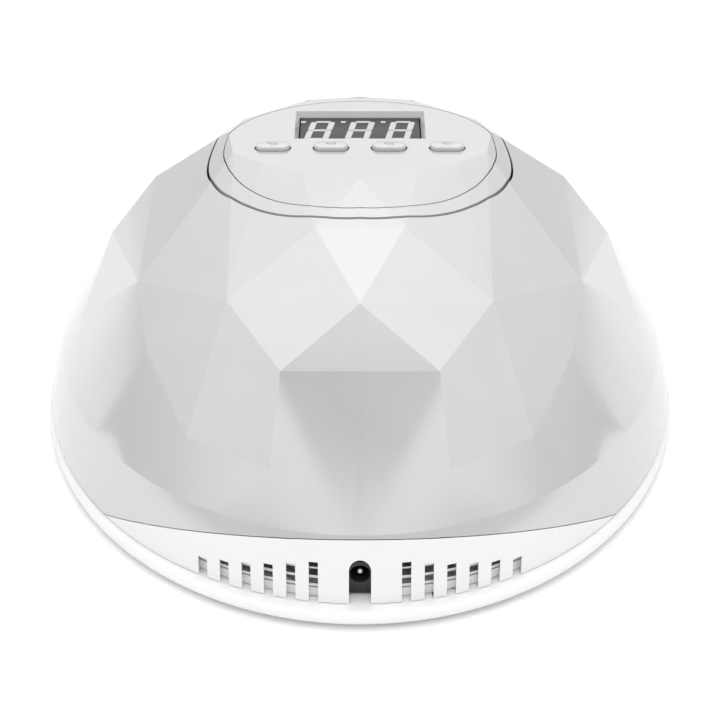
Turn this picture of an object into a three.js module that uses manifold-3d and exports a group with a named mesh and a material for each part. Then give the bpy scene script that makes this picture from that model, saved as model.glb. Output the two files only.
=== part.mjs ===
// UV curing lamp: a faceted domed housing that stands on a loose magnetic tray, with a control
// panel on top, a hand cavity open at the front and vents and a power inlet at the rear.
// Millimetres, +Z up. The origin is the middle of the tray's footprint, on the surface that its
// feet stand on. The hand cavity opens towards -Y and the power inlet faces +Y.
import * as THREE from "three";
import { ConvexGeometry } from "three/addons/geometries/ConvexGeometry.js";
import { mergeVertices } from "three/addons/utils/BufferGeometryUtils.js";
import Module from "manifold-3d";

const wasm = await Module();
wasm.setup();

// ---------------------------------------------------------------- driving dimensions
const GAP = 0.3; // between pieces that touch
const ROUND_SEGMENTS = 60; // around the plan outline of the lamp
const SMALL_SEGMENTS = 12; // around small round pieces
const PAST = 1; // how far a cutter runs past what it cuts
const FINENESS = 0.001; // corners closer than this become one

// the dome: two half ellipses in plan, a superellipse in height
const HALF_WIDTH = 103;
const REAR_REACH = 126;
const FRONT_REACH = 96;
const DOME_APEX = 100.7; // where the smooth dome would close above the flat deck
const DOME_BASE = 5; // where the dome is as wide as its half width
const DOME_RISE_POWER = 1.54;
const DOME_WIDTH_POWER = 1.9;
const DECK_HEIGHT = 95; // flat top
const FACET_END = 25; // facets above, smooth skirt below
const SKIRT_MIDDLE = 14;
const SHELL_WALL = 2.4;

// facet corners on the dome, both sides alike, each [bearing from the rear in degrees, height,
// how far the corner stands out of the smooth dome in per cent of its reach]
const FACET_CORNERS = [
  [0, 87.3, -1], [16.5, 86.7, 0], [0, 74.6, 1.2], [34, 71, 3], [16.8, 60.3, 1],
  [62.5, 62.5, 1.5], [49, 52.3, 0.3], [16, 38.6, 0], [33.5, 39, -1.5], [48, 33, 0],
  [77, 40, 0], [92, 56, 1], [99, 72.3, 3.5], [100, 45.5, 0], [122, 40, 0], [131, 52.3, 0.3],
  [125, 62.5, 0], [142, 33, 0], [146.5, 39, -1], [164, 38.6, 0], [163, 60.5, -0.5],
  [146, 71, 1.2], [180, 74.5, 1], [163.5, 86.7, 0], [180, 87.3, -1],
];
// deck corners, each [bearing from the rear in degrees, share of the dome's base outline]
const DECK_CORNERS = [
  [0, 0.312], [31.5, 0.318], [53, 0.364], [66, 0.41], [84, 0.4], [97, 0.36], [140, 0.262],
  [180, 0.229],
];

// loose tray
const TRAY_LIP = 5; // how far the tray stands out past the dome at the front and the rear
const TRAY_LIP_SIDE = 0.8; // and at the sides
const TRAY_TOP = 5.5;
const TRAY_UNDERSIDE = 1.2;
const TRAY_EDGE = [ // rounded edge: [height above the underside, inset from the widest outline]
  [0, 2.4], [0.7, 0.8], [1.9, 0], [3.1, 0.3], [3.9, 1.2], [4.3, 2.6],
];
const FOOT_RADIUS = 6;
const FOOT_POCKET = 1;
const FOOT_BEARINGS = [38, 142, 218, 322];
const FOOT_SHARE = 0.8; // of the dome's base outline

// seam between the shell and the base frame: a plane that falls towards the front
const SEAM_REAR_HEIGHT = 24;
const SEAM_SLOPE = 0.5;

// base frame
const FRAME_FLANGE = 2.6;
const FRAME_FLANGE_WIDTH = 17;
const FRAME_WALL = 2.6;
const VENT_COUNT = 6; // on each side of the inlet
const VENT_FIRST = 13;
const VENT_PITCH = 6.35;
const VENT_WIDTH = 2.6;
const VENT_TOP = 17.4;
const VENT_TOP_FALL = 1.2; // from one vent to the next
const INLET_SLOT_WIDTH = 6.2;
const INLET_SLOT_TOP = 18.5;

// power inlet: a 5.5 mm barrel jack with a 2.1 mm pin
const JACK_SIZE = [9, 14, 11];
const JACK_AXIS_HEIGHT = 12.9;
const JACK_BORE_RADIUS = 2.9;
const JACK_BORE_DEPTH = 9;
const JACK_PIN_RADIUS = 1.05;
const JACK_PIN_RECESS = 0.8;
const JACK_BOARD = [26, 20, 1.6];
const JACK_BOARD_SETBACK = 5; // from the jack's face

// magnets, screws
const MAGNET_RADIUS = 4;
const MAGNET_THICKNESS = 2;
const MAGNET_BEARINGS = [62, 118, 242, 298];
const MAGNET_SHARE = 0.885;
const MAGNET_BOSS_RADIUS = 6.5;
const MAGNET_BOSS_HEIGHT = 5;
const SCREW_RADIUS = 1.5;
const SCREW_HEAD_RADIUS = 2.8;
const SCREW_HEAD_HEIGHT = 1.8;
const HOUSING_SCREW_BEARINGS = [44, 92, 268, 316];
const HOUSING_SCREW_SHARE = 0.885;
const HOUSING_SCREW_LENGTH = 12;
const SHELL_BOSS_RADIUS = 4;
const SHELL_BOSS_SINK = 3; // how far above the flange a shell boss ends

// hand cavity: arches along the depth, each [place from the plan centre, half width, height]
const CAVITY_ARCHES = [[-60, 72, 57], [-30, 74, 58], [10, 73, 58], [52, 62, 52], [80, 44, 40]];
const CAVITY_ARCH_POWER = 3.5;
const CAVITY_ARCH_STEPS = 10; // in half an arch
const HOOD_WALL = 2;
const HOOD_LUG = [12, 2.4]; // width, thickness
const HOOD_LUG_PLACES = [-20, 34];
const HOOD_LUG_INSET = 15; // outer end of a lug, from the dome's half width

// control panel
const PANEL_CENTRE = 15; // behind the plan centre
const PANEL_HALF = [42, 33.7]; // half sizes of the seam between panel and rim
const RIM_WIDTH = [4.6, 2.8]; // at the sides, at the ends
const RIM_GROOVE = 0.7; // open groove round the rim
const RIM_DEPTH = 6;
const RIM_LEDGE = 2.6;
const PANEL_WALL = 2.2;
const WELL_WALL = 2; // of the shell's well that the rim stands in
const WELL_LEDGE = 4; // how far the well's floor reaches in under the rim
const PANEL_SEGMENTS = 48;

// display: a three-digit 0.56 inch module behind a bevelled window
const DISPLAY_SIZE = [37.7, 19, 8];
const DISPLAY_RECESS = 1.9;
const WINDOW_CLEARANCE = 0.3;
const WINDOW_BEVEL = [1.2, 0.7]; // at the sides, at the ends

// buttons
const BUTTON_NAMES = ["button_10s", "button_30s", "button_60s", "button_99s"];
const BUTTON_PITCH = 17.75;
const BUTTON_SIZE = [10.4, 4.6];
const BUTTON_PLACE = 17.4; // behind the plan centre
const BUTTON_PROUD = 1.5;
const BUTTON_EDGE = 0.5; // step round the cap's top
const BUTTON_CLEARANCE = 0.45;
const BUTTON_FLANGE = 0.8; // wider than the cap, each way
const BUTTON_FLANGE_THICKNESS = 1;
const BUTTON_FLANGE_DROP = 0.6; // below the panel's underside
const BUTTON_TRAVEL = 0.8;
const BUTTON_STEM_RADIUS = 1.6;
const SWITCH_SIZE = [6, 6, 3.5];
const SWITCH_PLUNGER_RADIUS = 1.7;
const SWITCH_PLUNGER = 0.8;

// boards and lamps
const BOARD_THICKNESS = 1.6;
const BOARD_MARGIN = 1.2; // between the control board and the rim's ledge
const BOARD_POST_RADIUS = 2.6;
const BOARD_POST_BEARINGS = [32, 120, 240, 328];
const BOARD_POST_SHARE = 0.86; // of the control board's outline
const BEAD_RADIUS = 2.4;
const BEAD_CLEARANCE = 0.3;
const BEAD_PROUD = 1.2; // past the hood's inner face
const TOP_BEADS = { across: 4, along: 4, pitch: [24, 24], centre: [0, 4] };
const SIDE_BEADS = { along: 4, pitch: 21, centre: 2, height: 28 };
const REAR_BEADS = { across: 4, pitch: 18, height: 25 };
const BEAD_BOARD_MARGIN = 7;
const SENSOR_PLACE = -50;
const SENSOR_SPACING = 12;
const SENSOR_RADIUS = 1.5;
const SENSOR_BOARD = [26, 9, 1.6];
const LEAD_RADIUS = 1.1;
const LEAD_STEPS = 14;
const LEAD_SIDES = 8;
// routes of the leads between their ends, points chosen by hand
const SUPPLY_LEAD_RISE = [3, 14]; // forward and up from the inlet's board
const SUPPLY_LEAD_ROUTE = [[82, 58], [62, 70], [44, 77]]; // [behind the plan centre, height]
const SUPPLY_LEAD_END = 34; // behind the plan centre
const SIDE_LEAD_ROUTE = [[0.58, 0], [0.75, 1], [0.9, 11]]; // [share of the reach, drop]
const SIDE_LEAD_END = [[-1, 20], [0.5, 9]]; // [past the board's face, above its middle]
const REAR_LEAD_ACROSS = 20;
const REAR_LEAD_ROUTE = [[44, 0], [58, 1]]; // [behind the plan centre, drop from the top board]
const REAR_LEAD_FALL = [[76, 58], [85.5, 46]]; // [behind the plan centre, height]
const REAR_LEAD_END = 9; // above the rear beads

// ---------------------------------------------------------------- finishes
const finish = (color, roughness, metalness = 0) =>
  new THREE.MeshStandardMaterial({ color, roughness, metalness, flatShading: true });
const PEARL = finish(0xe4e3e1, 0.18);
const WHITE = finish(0xf1f1ef, 0.4);
const TRAY_WHITE = finish(0xf4f4f3, 0.42);
const HOOD_WHITE = finish(0xf5f5f5, 0.25);
const DISPLAY_GREY = finish(0x3a3a3c, 0.3);
const BLACK = finish(0x161617, 0.35);
const BOARD_GREEN = finish(0x1f5a3a, 0.5);
const BOARD_WHITE = finish(0xe9ebe8, 0.45);
const RUBBER = finish(0x8c8c8c, 0.8);
const STEEL = finish(0xb8b9bb, 0.35, 1);
const MAGNET = finish(0x9fa2a6, 0.3, 1);
const LEAD_RED = finish(0x9c2320, 0.5);

// ---------------------------------------------------------------- solids
const PLAN_Y = (FRONT_REACH - REAR_REACH) / 2; // plan centre, so that the footprint is centred
const FLOOR = TRAY_TOP + GAP; // lowest level of the housing
const radians = THREE.MathUtils.degToRad;

function solid(geometry) {
  const bare = geometry.clone();
  bare.deleteAttribute("normal");
  bare.deleteAttribute("uv");
  const merged = mergeVertices(bare, 1e-4);
  return new wasm.Manifold(new wasm.Mesh({
    numProp: 3,
    vertProperties: merged.attributes.position.array,
    triVerts: new Uint32Array(merged.index.array),
  }));
}

const joined = (solids) => solids.reduce((whole, next) => whole.add(next));

function box([width, depth, height], [x, y, bottom]) {
  return solid(new THREE.BoxGeometry(width, depth, height).translate(x, y, bottom + height / 2));
}

// A round bar from one height to another.
function post(radius, [x, y], bottom, top, segments = SMALL_SEGMENTS) {
  const bar = new THREE.CylinderGeometry(radius, radius, top - bottom, segments);
  return solid(bar.rotateX(Math.PI / 2).translate(x, y, (bottom + top) / 2));
}

// A round bar along X or Y, from one place to another along that axis.
function bar(radius, axis, [from, to], [across, height]) {
  const round = new THREE.CylinderGeometry(radius, radius, to - from, SMALL_SEGMENTS);
  const middle = (from + to) / 2;
  if (axis === "x") return solid(round.rotateZ(Math.PI / 2).translate(middle, across, height));
  return solid(round.translate(across, middle, height));
}

// An upright prism of a flat outline.
function prism(points, bottom, top) {
  const shape = new THREE.Shape(points.map(([x, y]) => new THREE.Vector2(x, y)));
  const depth = top - bottom;
  return solid(new THREE.ExtrudeGeometry(shape, { depth, bevelEnabled: false })
    .translate(0, 0, bottom));
}

function ellipse(halfX, halfY, [x, y], segments = PANEL_SEGMENTS) {
  return Array.from({ length: segments }, (_, i) => {
    const turn = (2 * Math.PI * i) / segments;
    return [x + halfX * Math.cos(turn), y + halfY * Math.sin(turn)];
  });
}

// A rounded bar outline with half-round ends, longer along X.
function pill(length, width, [x, y], steps = 8) {
  const radius = width / 2;
  const reach = length / 2 - radius;
  const points = [];
  for (const [side, start] of [[1, -90], [-1, 90]])
    for (let i = 0; i <= steps; i++) {
      const turn = radians(start + (180 * i) / steps);
      points.push([x + side * reach + radius * Math.cos(turn), y + radius * Math.sin(turn)]);
    }
  return points;
}

const hull = (points) => solid(new ConvexGeometry(points.map((p) => new THREE.Vector3(...p))));

// A named mesh of a solid, its corners rounded to the model's fineness.
function piece(name, body, material) {
  const { vertProperties, triVerts } = body.getMesh();
  const rounded = vertProperties.map((value) => Math.round(value / FINENESS) * FINENESS);
  const whole = new THREE.BufferGeometry();
  whole.setAttribute("position", new THREE.BufferAttribute(rounded, 3));
  whole.setIndex(new THREE.BufferAttribute(triVerts, 1));
  const geometry = mergeVertices(whole, FINENESS / 2);
  const corners = geometry.index.array;
  const kept = [];
  for (let i = 0; i < corners.length; i += 3) {
    const [a, b, c] = corners.slice(i, i + 3);
    if (a !== b && b !== c && c !== a) kept.push(a, b, c);
  }
  geometry.setIndex(kept);
  geometry.computeVertexNormals();
  const mesh = new THREE.Mesh(geometry, material);
  mesh.name = name;
  return mesh;
}

// ---------------------------------------------------------------- the dome
// A point of the plan outline: bearing from the rear, share of the outline, inset inwards.
function planPoint(bearing, share, inset = 0) {
  const forward = Math.cos(radians(bearing));
  const reach = (forward >= 0 ? REAR_REACH : FRONT_REACH) - inset;
  const across = (HALF_WIDTH - inset) * share * Math.sin(radians(bearing));
  return [across, PLAN_Y + reach * share * forward];
}

// How much of the base outline the smooth dome still has at a height.
function domeShare(height, inset = 0) {
  const rise = Math.max(0, (height - DOME_BASE) / (DOME_APEX - inset - DOME_BASE));
  return (1 - rise ** DOME_RISE_POWER) ** (1 / DOME_WIDTH_POWER);
}

const domePoint = (bearing, height, inset, standOut = 0) =>
  [...planPoint(bearing, domeShare(height, inset) * (1 + standOut / 100), inset), height];

const bothSides = (bearing) => (bearing % 180 === 0 ? [bearing] : [bearing, -bearing]);

// The whole dome as one convex solid, inset all round by a wall thickness.
function dome(inset, bottom) {
  const points = [];
  for (const [bearing, height, standOut] of FACET_CORNERS)
    for (const turn of bothSides(bearing)) points.push(domePoint(turn, height, inset, standOut));
  for (const [bearing, share] of DECK_CORNERS)
    for (const turn of bothSides(bearing))
      points.push([...planPoint(turn, share, inset), DECK_HEIGHT - inset]);
  for (const height of [FACET_END, SKIRT_MIDDLE, bottom])
    for (let i = 0; i < ROUND_SEGMENTS; i++)
      points.push(domePoint((360 * i) / ROUND_SEGMENTS, height, inset));
  return hull(points);
}

// An upright prism of the dome's base outline, inset or grown all round.
const planPrism = (inset, bottom, top) => prism(Array.from({ length: ROUND_SEGMENTS }, (_, i) =>
  planPoint(-(360 * i) / ROUND_SEGMENTS, 1, inset)), bottom, top);

const wall = (outerInset, innerInset) =>
  dome(outerInset, FLOOR).subtract(dome(innerInset, FLOOR - PAST));

// Everything under the seam plane, lowered or raised by a shift.
function underSeam(shift) {
  const seamY = PLAN_Y + REAR_REACH * domeShare(SEAM_REAR_HEIGHT);
  const height = (y) => SEAM_REAR_HEIGHT + shift + SEAM_SLOPE * (y - seamY);
  const far = seamY + HALF_WIDTH;
  const near = seamY - (SEAM_REAR_HEIGHT + shift + PAST) / SEAM_SLOPE;
  const side = HALF_WIDTH + PAST;
  return hull([near, far].flatMap((y) => [-side, side].flatMap((x) =>
    [[x, y, height(y)], [x, y, -PAST * 2]])));
}

// ---------------------------------------------------------------- hand cavity and hood
// The hand cavity as a convex solid, grown outwards; its floor and front run on past the lamp.
function cavity(grow, front = PLAN_Y - FRONT_REACH - TRAY_LIP) {
  const points = [];
  const arch = (y, halfWidth, height) => {
    for (let i = 0; i <= 2 * CAVITY_ARCH_STEPS; i++) {
      const turn = (Math.PI * i) / (2 * CAVITY_ARCH_STEPS);
      const power = 2 / CAVITY_ARCH_POWER;
      const across = Math.sign(Math.cos(turn)) * Math.abs(Math.cos(turn)) ** power;
      points.push([
        (halfWidth + grow) * across, y,
        TRAY_TOP + (height + grow) * Math.sin(turn) ** power,
      ]);
    }
    for (const side of [-1, 1]) points.push([side * (halfWidth + grow), y, TRAY_TOP - PAST]);
  };
  const [first] = CAVITY_ARCHES;
  const last = CAVITY_ARCHES[CAVITY_ARCHES.length - 1];
  arch(front, first[1], first[2]);
  for (const [place, halfWidth, height] of CAVITY_ARCHES) arch(PLAN_Y + place, halfWidth, height);
  arch(PLAN_Y + last[0] + grow, last[1], last[2]);
  return hull(points);
}

const cavityInside = cavity(0);
const cavityOutside = cavity(HOOD_WALL);
const cavityClear = cavity(HOOD_WALL + GAP);
const [, , CAVITY_HEIGHT] = CAVITY_ARCHES[1];
const CEILING = TRAY_TOP + CAVITY_HEIGHT; // inner face of the hood's top
const SIDE_FACE = CAVITY_ARCHES[1][1]; // inner face of the hood's sides
const REAR_FACE = PLAN_Y + CAVITY_ARCHES[CAVITY_ARCHES.length - 1][0];

const spread = (count, pitch, centre) =>
  Array.from({ length: count }, (_, i) => centre + (i - (count - 1) / 2) * pitch);

const topBeads = spread(TOP_BEADS.across, TOP_BEADS.pitch[0], TOP_BEADS.centre[0])
  .flatMap((x) => spread(TOP_BEADS.along, TOP_BEADS.pitch[1], PLAN_Y + TOP_BEADS.centre[1])
    .map((y) => [x, y]));
const sideBeads = spread(SIDE_BEADS.along, SIDE_BEADS.pitch, PLAN_Y + SIDE_BEADS.centre);
const rearBeads = spread(REAR_BEADS.across, REAR_BEADS.pitch, 0);
const sensors = [-SENSOR_SPACING / 2, SENSOR_SPACING / 2];

const TOP_BOARD = CEILING + HOOD_WALL + GAP; // underside of the top lamp board
const SIDE_BOARD = SIDE_FACE + HOOD_WALL + GAP;
const REAR_BOARD = REAR_FACE + HOOD_WALL + GAP;

function topBeadBars(radius, tip) {
  return topBeads.map((at) => post(radius, at, tip, TOP_BOARD + BOARD_THICKNESS / 2));
}

function sideBeadBars(side, radius, tip) {
  const span = [tip, SIDE_BOARD + BOARD_THICKNESS / 2].map((x) => side * x).sort((a, b) => a - b);
  return sideBeads.map((y) => bar(radius, "x", span, [y, SIDE_BEADS.height]));
}

function rearBeadBars(radius, tip) {
  const span = [tip, REAR_BOARD + BOARD_THICKNESS / 2];
  return rearBeads.map((x) => bar(radius, "y", span, [x, REAR_BEADS.height]));
}

function innerHood() {
  const lugs = HOOD_LUG_PLACES.map((place) =>
    box([2 * lugReach, ...HOOD_LUG], [0, PLAN_Y + place, FLOOR + FRAME_FLANGE + GAP]));
  const body = cavityOutside.intersect(dome(0, FLOOR)).add(joined(lugs)).subtract(cavityInside);
  const hole = BEAD_RADIUS + BEAD_CLEARANCE;
  const holes = [
    ...topBeadBars(hole, CEILING - BEAD_PROUD * 2),
    ...sideBeadBars(-1, hole, SIDE_FACE - BEAD_PROUD * 2),
    ...sideBeadBars(1, hole, SIDE_FACE - BEAD_PROUD * 2),
    ...rearBeadBars(hole, REAR_FACE - BEAD_PROUD * 2),
    ...sensors.map((x) =>
      post(SENSOR_RADIUS + BEAD_CLEARANCE, [x, PLAN_Y + SENSOR_PLACE], FLOOR, TOP_BOARD)),
    ...hoodScrewPlaces.map((at) => post(SCREW_RADIUS + GAP, at, FLOOR, lugTop + PAST)),
  ];
  return body.subtract(joined(holes));
}

const lugReach = HALF_WIDTH - HOOD_LUG_INSET;
const lugTop = FLOOR + FRAME_FLANGE + GAP + HOOD_LUG[1];
const hoodScrewPlaces = HOOD_LUG_PLACES.flatMap((place) => [-1, 1].map((side) =>
  [side * (lugReach - HOOD_LUG[0] / 2), PLAN_Y + place]));

// ---------------------------------------------------------------- shell, frame, tray
const panelMiddle = [0, PLAN_Y + PANEL_CENTRE];
const RIM_HALF = PANEL_HALF.map((half, i) => half + RIM_WIDTH[i]);
const grownPrism = ([halfX, halfY], grow) =>
  prism(ellipse(halfX + grow, halfY + grow, panelMiddle), FACET_END, DOME_APEX);
const panelPrism = (grow) => grownPrism(PANEL_HALF, grow);
const rimPrism = (grow) => grownPrism(RIM_HALF, grow);

const wellFloor = RIM_DEPTH + GAP; // inset of the well's floor

const housingScrews = HOUSING_SCREW_BEARINGS.map((bearing) =>
  planPoint(bearing, HOUSING_SCREW_SHARE));
const magnets = MAGNET_BEARINGS.map((bearing) => planPoint(bearing, MAGNET_SHARE));

function outerShell() {
  const wellSide = wall(SHELL_WALL / 2, wellFloor + WELL_WALL)
    .intersect(rimPrism(RIM_GROOVE + WELL_WALL).subtract(rimPrism(RIM_GROOVE)));
  const wellLedge = wall(wellFloor, wellFloor + WELL_WALL)
    .intersect(rimPrism(RIM_GROOVE + PAST).subtract(rimPrism(-WELL_LEDGE)));
  const bossBottom = FLOOR + FRAME_FLANGE + SHELL_BOSS_SINK;
  const bosses = joined(housingScrews.map((at) =>
    post(SHELL_BOSS_RADIUS, at, bossBottom, DECK_HEIGHT))).intersect(dome(SHELL_WALL / 2, FLOOR));
  const pilots = housingScrews.map((at) =>
    post(SCREW_RADIUS + GAP, at, FLOOR, FLOOR + HOUSING_SCREW_LENGTH + PAST));
  return wall(0, SHELL_WALL)
    .subtract(rimPrism(RIM_GROOVE))
    .add(joined([wellSide, wellLedge, bosses]))
    .subtract(joined(pilots))
    .subtract(underSeam(0))
    .subtract(cavityClear);
}

function baseFrame() {
  const flangeOutside = SHELL_WALL + GAP * 2;
  const flangeTop = FLOOR + FRAME_FLANGE;
  const block = dome(0, FLOOR).intersect(underSeam(-GAP)).add(dome(flangeOutside, FLOOR))
    .subtract(dome(FRAME_WALL, flangeTop))
    .subtract(planPrism(flangeOutside + FRAME_FLANGE_WIDTH, FLOOR - PAST, flangeTop + PAST));
  const bosses = joined(magnets.map((at) =>
    post(MAGNET_BOSS_RADIUS, at, FLOOR + GAP, FLOOR + MAGNET_BOSS_HEIGHT)));
  const pockets = magnets.map((at) =>
    post(MAGNET_RADIUS + GAP, at, FLOOR - PAST, FLOOR + MAGNET_THICKNESS + GAP * 2));
  const clearances = [...housingScrews, ...hoodScrewPlaces].map((at) =>
    post(SCREW_RADIUS + GAP, at, FLOOR - PAST, flangeTop + PAST));
  const heads = housingScrews.map((at) =>
    post(SCREW_HEAD_RADIUS + GAP, at, FLOOR - PAST, FLOOR + SCREW_HEAD_HEIGHT));
  return block.add(bosses.intersect(dome(flangeOutside + GAP, FLOOR)))
    .subtract(joined([...pockets, ...clearances, ...heads, cavityClear, vents(), inletCut()]));
}

// Slots open at the bottom, only as deep as the band, so that the flange shows inside them.
function vents() {
  const slots = [];
  for (let i = 0; i < VENT_COUNT; i++)
    for (const side of [-1, 1]) {
      const height = VENT_TOP - i * VENT_TOP_FALL - FLOOR + PAST;
      const x = side * (VENT_FIRST + i * VENT_PITCH);
      slots.push(box([VENT_WIDTH, REAR_REACH, height], [x, REAR_REACH, FLOOR - PAST]));
    }
  return joined(slots).subtract(dome(FRAME_WALL, FLOOR - PAST));
}

// The arched slot that shows the jack, and the room for the jack's body behind it.
function inletCut() {
  const radius = INLET_SLOT_WIDTH / 2;
  const axis = INLET_SLOT_TOP - radius;
  const start = jackFace - JACK_SIZE[1];
  const slot = box([INLET_SLOT_WIDTH, REAR_REACH, axis - FLOOR + PAST],
    [0, start + REAR_REACH / 2, FLOOR - PAST]);
  const arch = bar(radius, "y", [start, start + REAR_REACH], [0, axis]);
  const room = box([JACK_SIZE[0] + GAP * 2, JACK_SIZE[1] + GAP * 2, jackTop + GAP * 2 - FLOOR + PAST],
    [0, jackFace - JACK_SIZE[1] / 2, FLOOR - PAST]);
  return joined([slot, arch, room]);
}

// A point of the tray's outline: bearing from the rear, inset inwards.
function trayPoint(bearing, inset) {
  const forward = Math.cos(radians(bearing));
  const reach = (forward >= 0 ? REAR_REACH : FRONT_REACH) + TRAY_LIP - inset;
  const across = (HALF_WIDTH + TRAY_LIP_SIDE - inset) * Math.sin(radians(bearing));
  return [across, PLAN_Y + reach * forward];
}

function baseTray() {
  const points = TRAY_EDGE.flatMap(([rise, inset]) =>
    Array.from({ length: ROUND_SEGMENTS }, (_, i) =>
      [...trayPoint((360 * i) / ROUND_SEGMENTS, inset), TRAY_UNDERSIDE + rise]));
  const footPockets = feet.map((at) =>
    post(FOOT_RADIUS + GAP, at, 0, TRAY_UNDERSIDE + FOOT_POCKET));
  const magnetPockets = magnets.map((at) =>
    post(MAGNET_RADIUS + GAP, at, TRAY_TOP - MAGNET_THICKNESS - GAP, TRAY_TOP + PAST));
  return hull(points).subtract(joined([...footPockets, ...magnetPockets]));
}

const feet = FOOT_BEARINGS.map((bearing) => planPoint(bearing, FOOT_SHARE));

// ---------------------------------------------------------------- control panel
const panelUnderside = DECK_HEIGHT - PANEL_WALL;
const displayFace = DECK_HEIGHT - DISPLAY_RECESS;
const boardTop = displayFace - DISPLAY_SIZE[2] - GAP;
const boardHalf = PANEL_HALF.map((half) => half - RIM_LEDGE - BOARD_MARGIN);
const boardPosts = BOARD_POST_BEARINGS.map((bearing) => [
  panelMiddle[0] + boardHalf[0] * BOARD_POST_SHARE * Math.sin(radians(bearing)),
  panelMiddle[1] + boardHalf[1] * BOARD_POST_SHARE * Math.cos(radians(bearing)),
]);
const buttonPlaces = spread(BUTTON_NAMES.length, BUTTON_PITCH, 0)
  .map((x) => [x, PLAN_Y + BUTTON_PLACE]);

function windowCut() {
  const halfX = DISPLAY_SIZE[0] / 2 + WINDOW_CLEARANCE;
  const halfY = DISPLAY_SIZE[1] / 2 + WINDOW_CLEARANCE;
  const level = (share, z) => [-1, 1].flatMap((sx) => [-1, 1].map((sy) => [
    sx * (halfX + share * WINDOW_BEVEL[0]),
    PLAN_Y + sy * (halfY + share * WINDOW_BEVEL[1]),
    z,
  ]));
  const bevel = [...level(0, displayFace), ...level(1 + PAST / DISPLAY_RECESS, DECK_HEIGHT + PAST)];
  return hull(bevel).add(hull([...level(0, panelUnderside - PAST), ...level(0, displayFace)]));
}

function controlPanel() {
  const holes = buttonPlaces.map((at) => prism(
    pill(BUTTON_SIZE[0] + 2 * BUTTON_CLEARANCE, BUTTON_SIZE[1] + 2 * BUTTON_CLEARANCE, at),
    FACET_END, DOME_APEX));
  const posts = joined(boardPosts.map((at) =>
    post(BOARD_POST_RADIUS, at, boardTop + GAP, DECK_HEIGHT))).intersect(dome(PANEL_WALL / 2, FLOOR));
  const pilots = boardPosts.map((at) =>
    post(SCREW_RADIUS + GAP, at, boardTop, panelUnderside - PAST));
  return wall(0, PANEL_WALL)
    .intersect(panelPrism(-GAP))
    .add(posts)
    .subtract(joined([...holes, ...pilots, windowCut()]));
}

function panelRim() {
  const ring = wall(0, RIM_DEPTH).intersect(rimPrism(0)).subtract(panelPrism(0));
  const ledge = wall(PANEL_WALL + GAP, RIM_DEPTH)
    .intersect(panelPrism(GAP)).subtract(panelPrism(-RIM_LEDGE));
  return ring.add(ledge);
}

function button(at) {
  const [length, width] = BUTTON_SIZE;
  const capTop = DECK_HEIGHT + BUTTON_PROUD;
  const flangeTop = panelUnderside - BUTTON_FLANGE_DROP;
  const cap = prism(pill(length, width, at), flangeTop - GAP, capTop - BUTTON_EDGE)
    .add(prism(pill(length - BUTTON_EDGE, width - BUTTON_EDGE, at), capTop - BUTTON_EDGE - GAP,
      capTop));
  const flange = prism(pill(length + 2 * BUTTON_FLANGE, width + 2 * BUTTON_FLANGE, at),
    flangeTop - BUTTON_FLANGE_THICKNESS, flangeTop);
  const stem = post(BUTTON_STEM_RADIUS, at, plungerTop + BUTTON_TRAVEL + GAP, flangeTop);
  return joined([cap, flange, stem]);
}

const switchBottom = boardTop + GAP;
const plungerTop = switchBottom + SWITCH_SIZE[2] + SWITCH_PLUNGER;

function tactSwitch([x, y]) {
  const body = box(SWITCH_SIZE, [x, y, switchBottom]);
  return body.add(post(SWITCH_PLUNGER_RADIUS, [x, y], switchBottom + PAST, plungerTop));
}

function controlBoard() {
  const holes = boardPosts.map((at) => post(SCREW_RADIUS + GAP, at, FACET_END, DECK_HEIGHT));
  return prism(ellipse(...boardHalf, panelMiddle), boardTop - BOARD_THICKNESS, boardTop)
    .subtract(joined(holes));
}

function displayModule() {
  return box(DISPLAY_SIZE, [0, PLAN_Y, displayFace - DISPLAY_SIZE[2]]);
}

// ---------------------------------------------------------------- inlet
// The jack's face stands just inside the band, at the height of its axis.
const jackFace = PLAN_Y + (REAR_REACH - FRAME_WALL) * domeShare(JACK_AXIS_HEIGHT, FRAME_WALL) - GAP;
const jackBottom = FLOOR + GAP;
const jackTop = jackBottom + JACK_SIZE[2];

function dcJack() {
  const body = box(JACK_SIZE, [0, jackFace - JACK_SIZE[1] / 2, jackBottom]);
  const mouth = [jackFace - JACK_BORE_DEPTH, jackFace + PAST];
  const pin = [jackFace - JACK_BORE_DEPTH - PAST, jackFace - JACK_PIN_RECESS];
  return body
    .subtract(bar(JACK_BORE_RADIUS, "y", mouth, [0, JACK_AXIS_HEIGHT]))
    .add(bar(JACK_PIN_RADIUS, "y", pin, [0, JACK_AXIS_HEIGHT]));
}

const jackBoardMiddle = [0, jackFace - JACK_BOARD_SETBACK - JACK_BOARD[1] / 2, jackTop + GAP];

// ---------------------------------------------------------------- lamp boards
const plate = (across, along) => [across + 2 * BEAD_BOARD_MARGIN, along + 2 * BEAD_BOARD_MARGIN];

function topLampBoard() {
  const size = plate((TOP_BEADS.across - 1) * TOP_BEADS.pitch[0],
    (TOP_BEADS.along - 1) * TOP_BEADS.pitch[1]);
  const centre = [TOP_BEADS.centre[0], PLAN_Y + TOP_BEADS.centre[1], TOP_BOARD];
  return box([...size, BOARD_THICKNESS], centre)
    .add(joined(topBeadBars(BEAD_RADIUS, CEILING - BEAD_PROUD)));
}

function sideLampBoard(side) {
  const [along, high] = plate((SIDE_BEADS.along - 1) * SIDE_BEADS.pitch, 0);
  const x = side * (SIDE_BOARD + BOARD_THICKNESS / 2);
  return box([BOARD_THICKNESS, along, high],
    [x, PLAN_Y + SIDE_BEADS.centre, SIDE_BEADS.height - high / 2])
    .add(joined(sideBeadBars(side, BEAD_RADIUS, SIDE_FACE - BEAD_PROUD)));
}

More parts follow.
